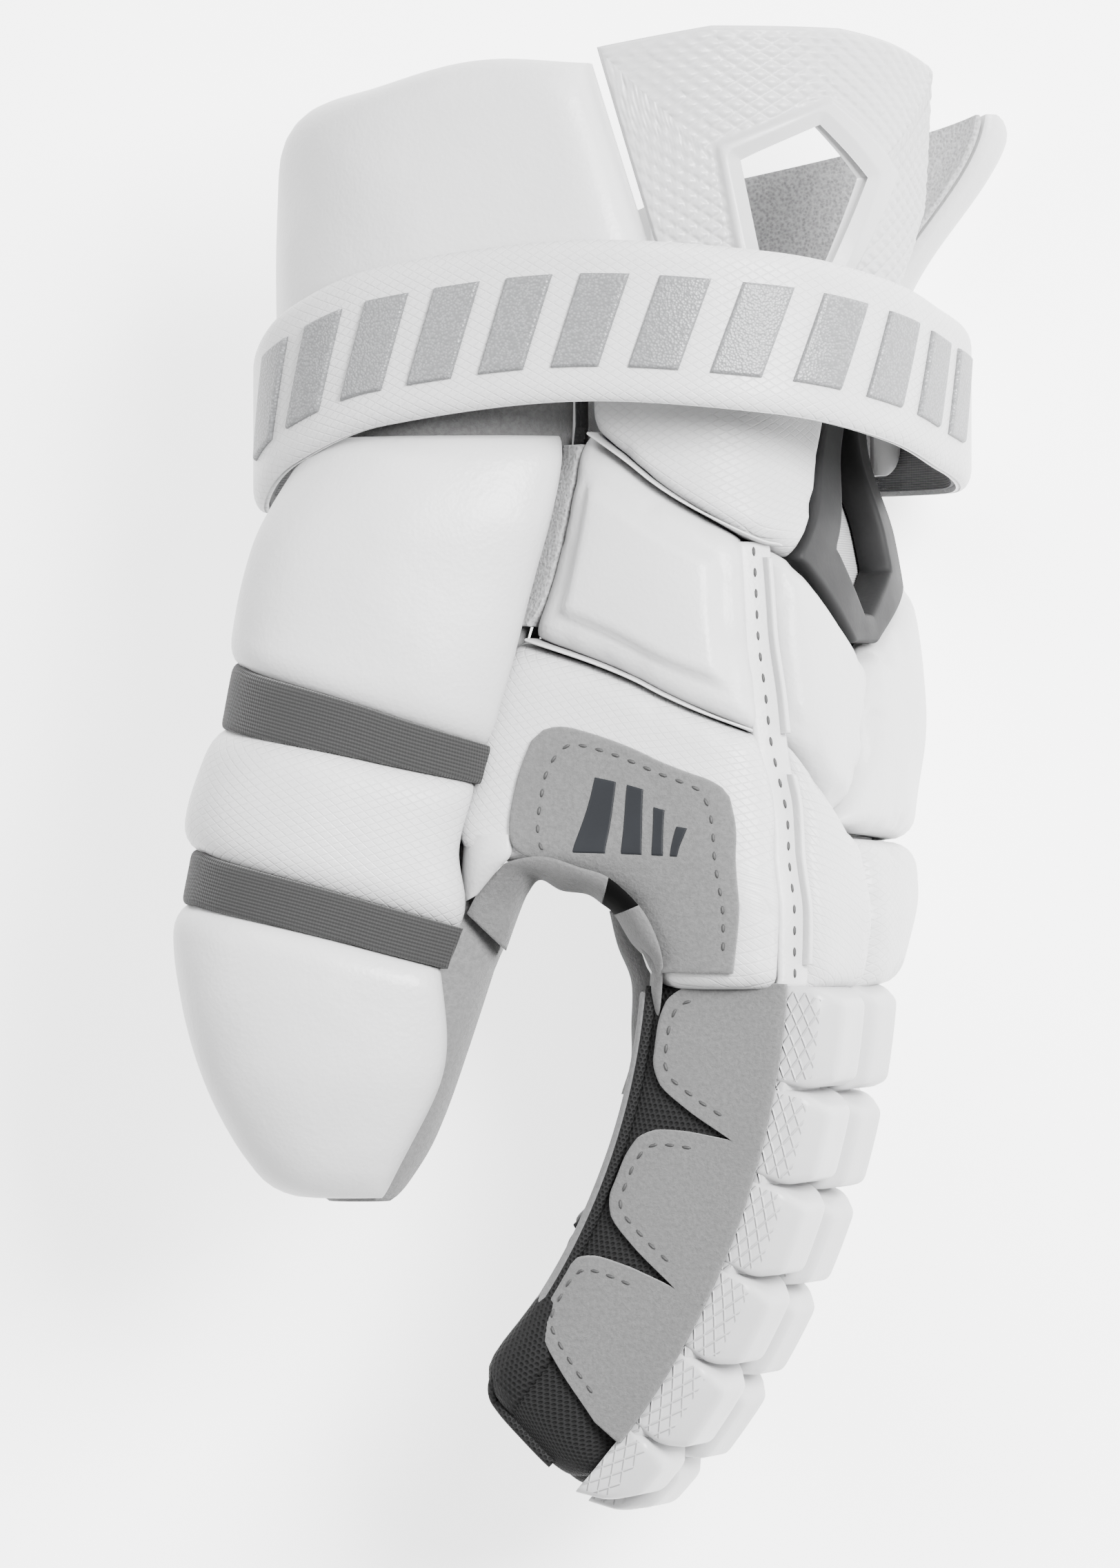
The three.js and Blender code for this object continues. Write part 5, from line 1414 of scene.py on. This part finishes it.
relief = 0.75 * np.clip((0.5 - crest) / 0.28, 0, 1) ** 0.8
on_rim = eased(np.clip((-from_rim + 1.2) / 2.4, 0, 1)) * (0.35 + 0.65 * np.clip(from_hole / 3.0, 0, 1))
off_rim = np.clip(from_rim / 1.5, 0, 1) * np.clip(from_edge / 2.5, 0, 1)
height = CUFF_SHELL - 0.6 + relief * off_rim + CUFF_RIM * on_rim
height = height * np.clip(0.5 + from_edge / 2.0, 0.5, 1.0)
top = cuff_any(plane[..., 0] / cuff_run, plane[..., 1], height)
under = cuff_any(plane[..., 0] / cuff_run, plane[..., 1], 0.0)
rows, columns = height.shape
count = rows * columns
i, j = np.meshgrid(np.arange(rows), np.arange(columns - 1), indexing="ij")
k = (i + 1) % rows
a, b = i * columns + j, k * columns + j
quads = np.stack([a, b, b + 1, a + 1], axis=-1).reshape(-1, 4)
faces = quads.tolist() + (quads[:, ::-1] + count).tolist()
for i in range(rows):
    for j, order in ((0, 1), (columns - 1, -1)):
        a, b = i * columns + j, (i + 1) % rows * columns + j
        faces.append([a, b, b + count, a + count][::order])
mesh_object("cuff_plate", [top, under], faces, plate_white, uv=plane / 10, slot="moulded", replaces=["cuff_shell"])

# Strap
STRAP_ROUNDING = 4.5
strap_ends = 0.5 * np.sin(np.linspace(0.9, math.pi / 2, 6))
strap_rows = np.concatenate([-strap_ends[::-1], np.linspace(-0.36, 0.36, 15), strap_ends])
strap_turns = np.arange(420) / 420
strap_foot = STRAP_LINING + STRAP_CLEARANCE
strap_run = steps_along(on_strap(np.append(strap_turns, 1.0), 0.0, 0.0)).sum()


def strap_layer(name, turns, ats, foot, height, material, slot, replaces):
    """Layer that runs all the way round the strap, its height above its foot given for each row."""
    turn_grid, at_grid = np.meshgrid(turns, ats)
    layers = [on_strap(turn_grid, at_grid, foot + height), on_strap(turn_grid, at_grid, foot)]
    rows, columns = turn_grid.shape
    faces = layered_faces(rows, columns, closed=True)
    faces += rim_faces(rows, columns, 0, False) + rim_faces(rows, columns, rows - 1, True)
    uv = np.stack([turn_grid * strap_run, at_grid * STRAP_WIDTH], axis=-1) / 10
    return mesh_object(name, layers, faces, material, uv=uv, slot=slot, replaces=replaces)


side = (0.5 - np.abs(strap_rows)) * STRAP_WIDTH
puff = np.sqrt(1 - (1 - np.clip(side / STRAP_ROUNDING, 0, 1)) ** 2)[:, None]
strap = strap_layer("strap_leather", strap_turns, strap_rows, strap_foot, STRAP_THICKNESS * (0.3 + 0.7 * puff),
                    diamond_leather, "leather", ["strap"])
strap_layer("strap_lining_tricot", strap_turns[::2], np.linspace(-0.47, 0.47, 9), 0.0, STRAP_LINING, grey_tricot,
            "lining", ["strap_lining"])

BAR_FROM = 0.335
BAR_TO = 0.79
BAR_COUNT = 12
BAR_SHARE = 0.62
BAR_SLANT = 0.4
BAR_HALF = 22.0 / STRAP_WIDTH / 2
bar_pitch = (BAR_TO - BAR_FROM) / BAR_COUNT
for i in range(BAR_COUNT):
    start = BAR_FROM + i * bar_pitch
    rail = [[start, -BAR_HALF], [start + BAR_SLANT * bar_pitch, BAR_HALF]]
    trim(f"strap_bar_{i + 1}_print", on_strap, [rail, beside(rail, BAR_SHARE * bar_pitch)],
         strap_foot + STRAP_THICKNESS - 0.1, 1.3, silver_print, radius=0.9, edge=0.3, slot="print",
         replaces=[f"strap_bar_{i + 1}"], fill=1.0)

# Nothing else stands for the gusset: it keeps its CAD shape
for gusset_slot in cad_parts["thumb_gusset"].material_slots:
    gusset_slot.material = grey_suede

# Floor, light and camera
FLOOR_HALF = 6.0
FLOOR_GLOW = 2.0
floor_corners = [(x * FLOOR_HALF, y * FLOOR_HALF, 0) for x, y in ((-1, -1), (1, -1), (1, 1), (-1, 1))]
floor_mesh = bpy.data.meshes.new("floor")
floor_mesh.from_pydata(floor_corners, [], [(0, 1, 2, 3)])
floor = bpy.data.objects.new("floor", floor_mesh)
bpy.context.scene.collection.objects.link(floor)
paper = Material("floor_paper", roughness=0.9)
paper.shader["Emission Color"].default_value = (1.0, 1.0, 1.0, 1.0)
paper.shader["Emission Strength"].default_value = FLOOR_GLOW
floor_mesh.materials.append(paper.finish(paper.mix(paper.noise(3.0, 2), grey(0.965), grey(0.975))))
floor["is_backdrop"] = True

world = bpy.data.worlds.new("studio")
bpy.context.scene.world = world
world.use_nodes = True
world.node_tree.nodes["Background"].inputs[0].default_value = (1, 1, 1, 1)
world.node_tree.nodes["Background"].inputs[1].default_value = 0.72
AREA_LIGHTS = [
    {"name": "key", "place": (1.15, 0.45, 1.25), "size": 0.6, "power": 128},
    {"name": "fill", "place": (-1.1, 0.3, 1.3), "size": 1.0, "power": 24},
    {"name": "top", "place": (0.1, 1.2, 1.2), "size": 0.8, "power": 12},
]
for row in AREA_LIGHTS:
    data = bpy.data.lights.new(row["name"], "AREA")
    data.size = row["size"]
    data.energy = row["power"]
    light = bpy.data.objects.new(row["name"], data)
    light.location = row["place"]
    light.rotation_euler = (Vector((0, 0, 0.05)) - light.location).to_track_quat("-Z", "Y").to_euler()
    bpy.context.scene.collection.objects.link(light)

LENS = 200.0
SENSOR = 36.0
FRAME_HEIGHT = 0.380
FRAME_DEPTH = 60.0
FRAME_ACROSS = -60.7
camera_data = bpy.data.cameras.new("camera")
camera_data.lens = LENS
camera_data.sensor_width = SENSOR
camera_data.sensor_fit = "AUTO"
camera_data.clip_end = 20
camera = bpy.data.objects.new("camera", camera_data)
bpy.context.scene.collection.objects.link(camera)
target = Vector((ACROSS * FRAME_ACROSS + TOWARD * FRAME_DEPTH + SHIFT) / 1000)
back, up = Vector(TOWARD), Vector(UP)
facing = Matrix((up.cross(back).normalized(), up, back)).transposed().to_4x4()
camera.matrix_world = Matrix.Translation(target + back * (LENS / SENSOR * FRAME_HEIGHT)) @ facing
bpy.context.scene.camera = camera

low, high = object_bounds()
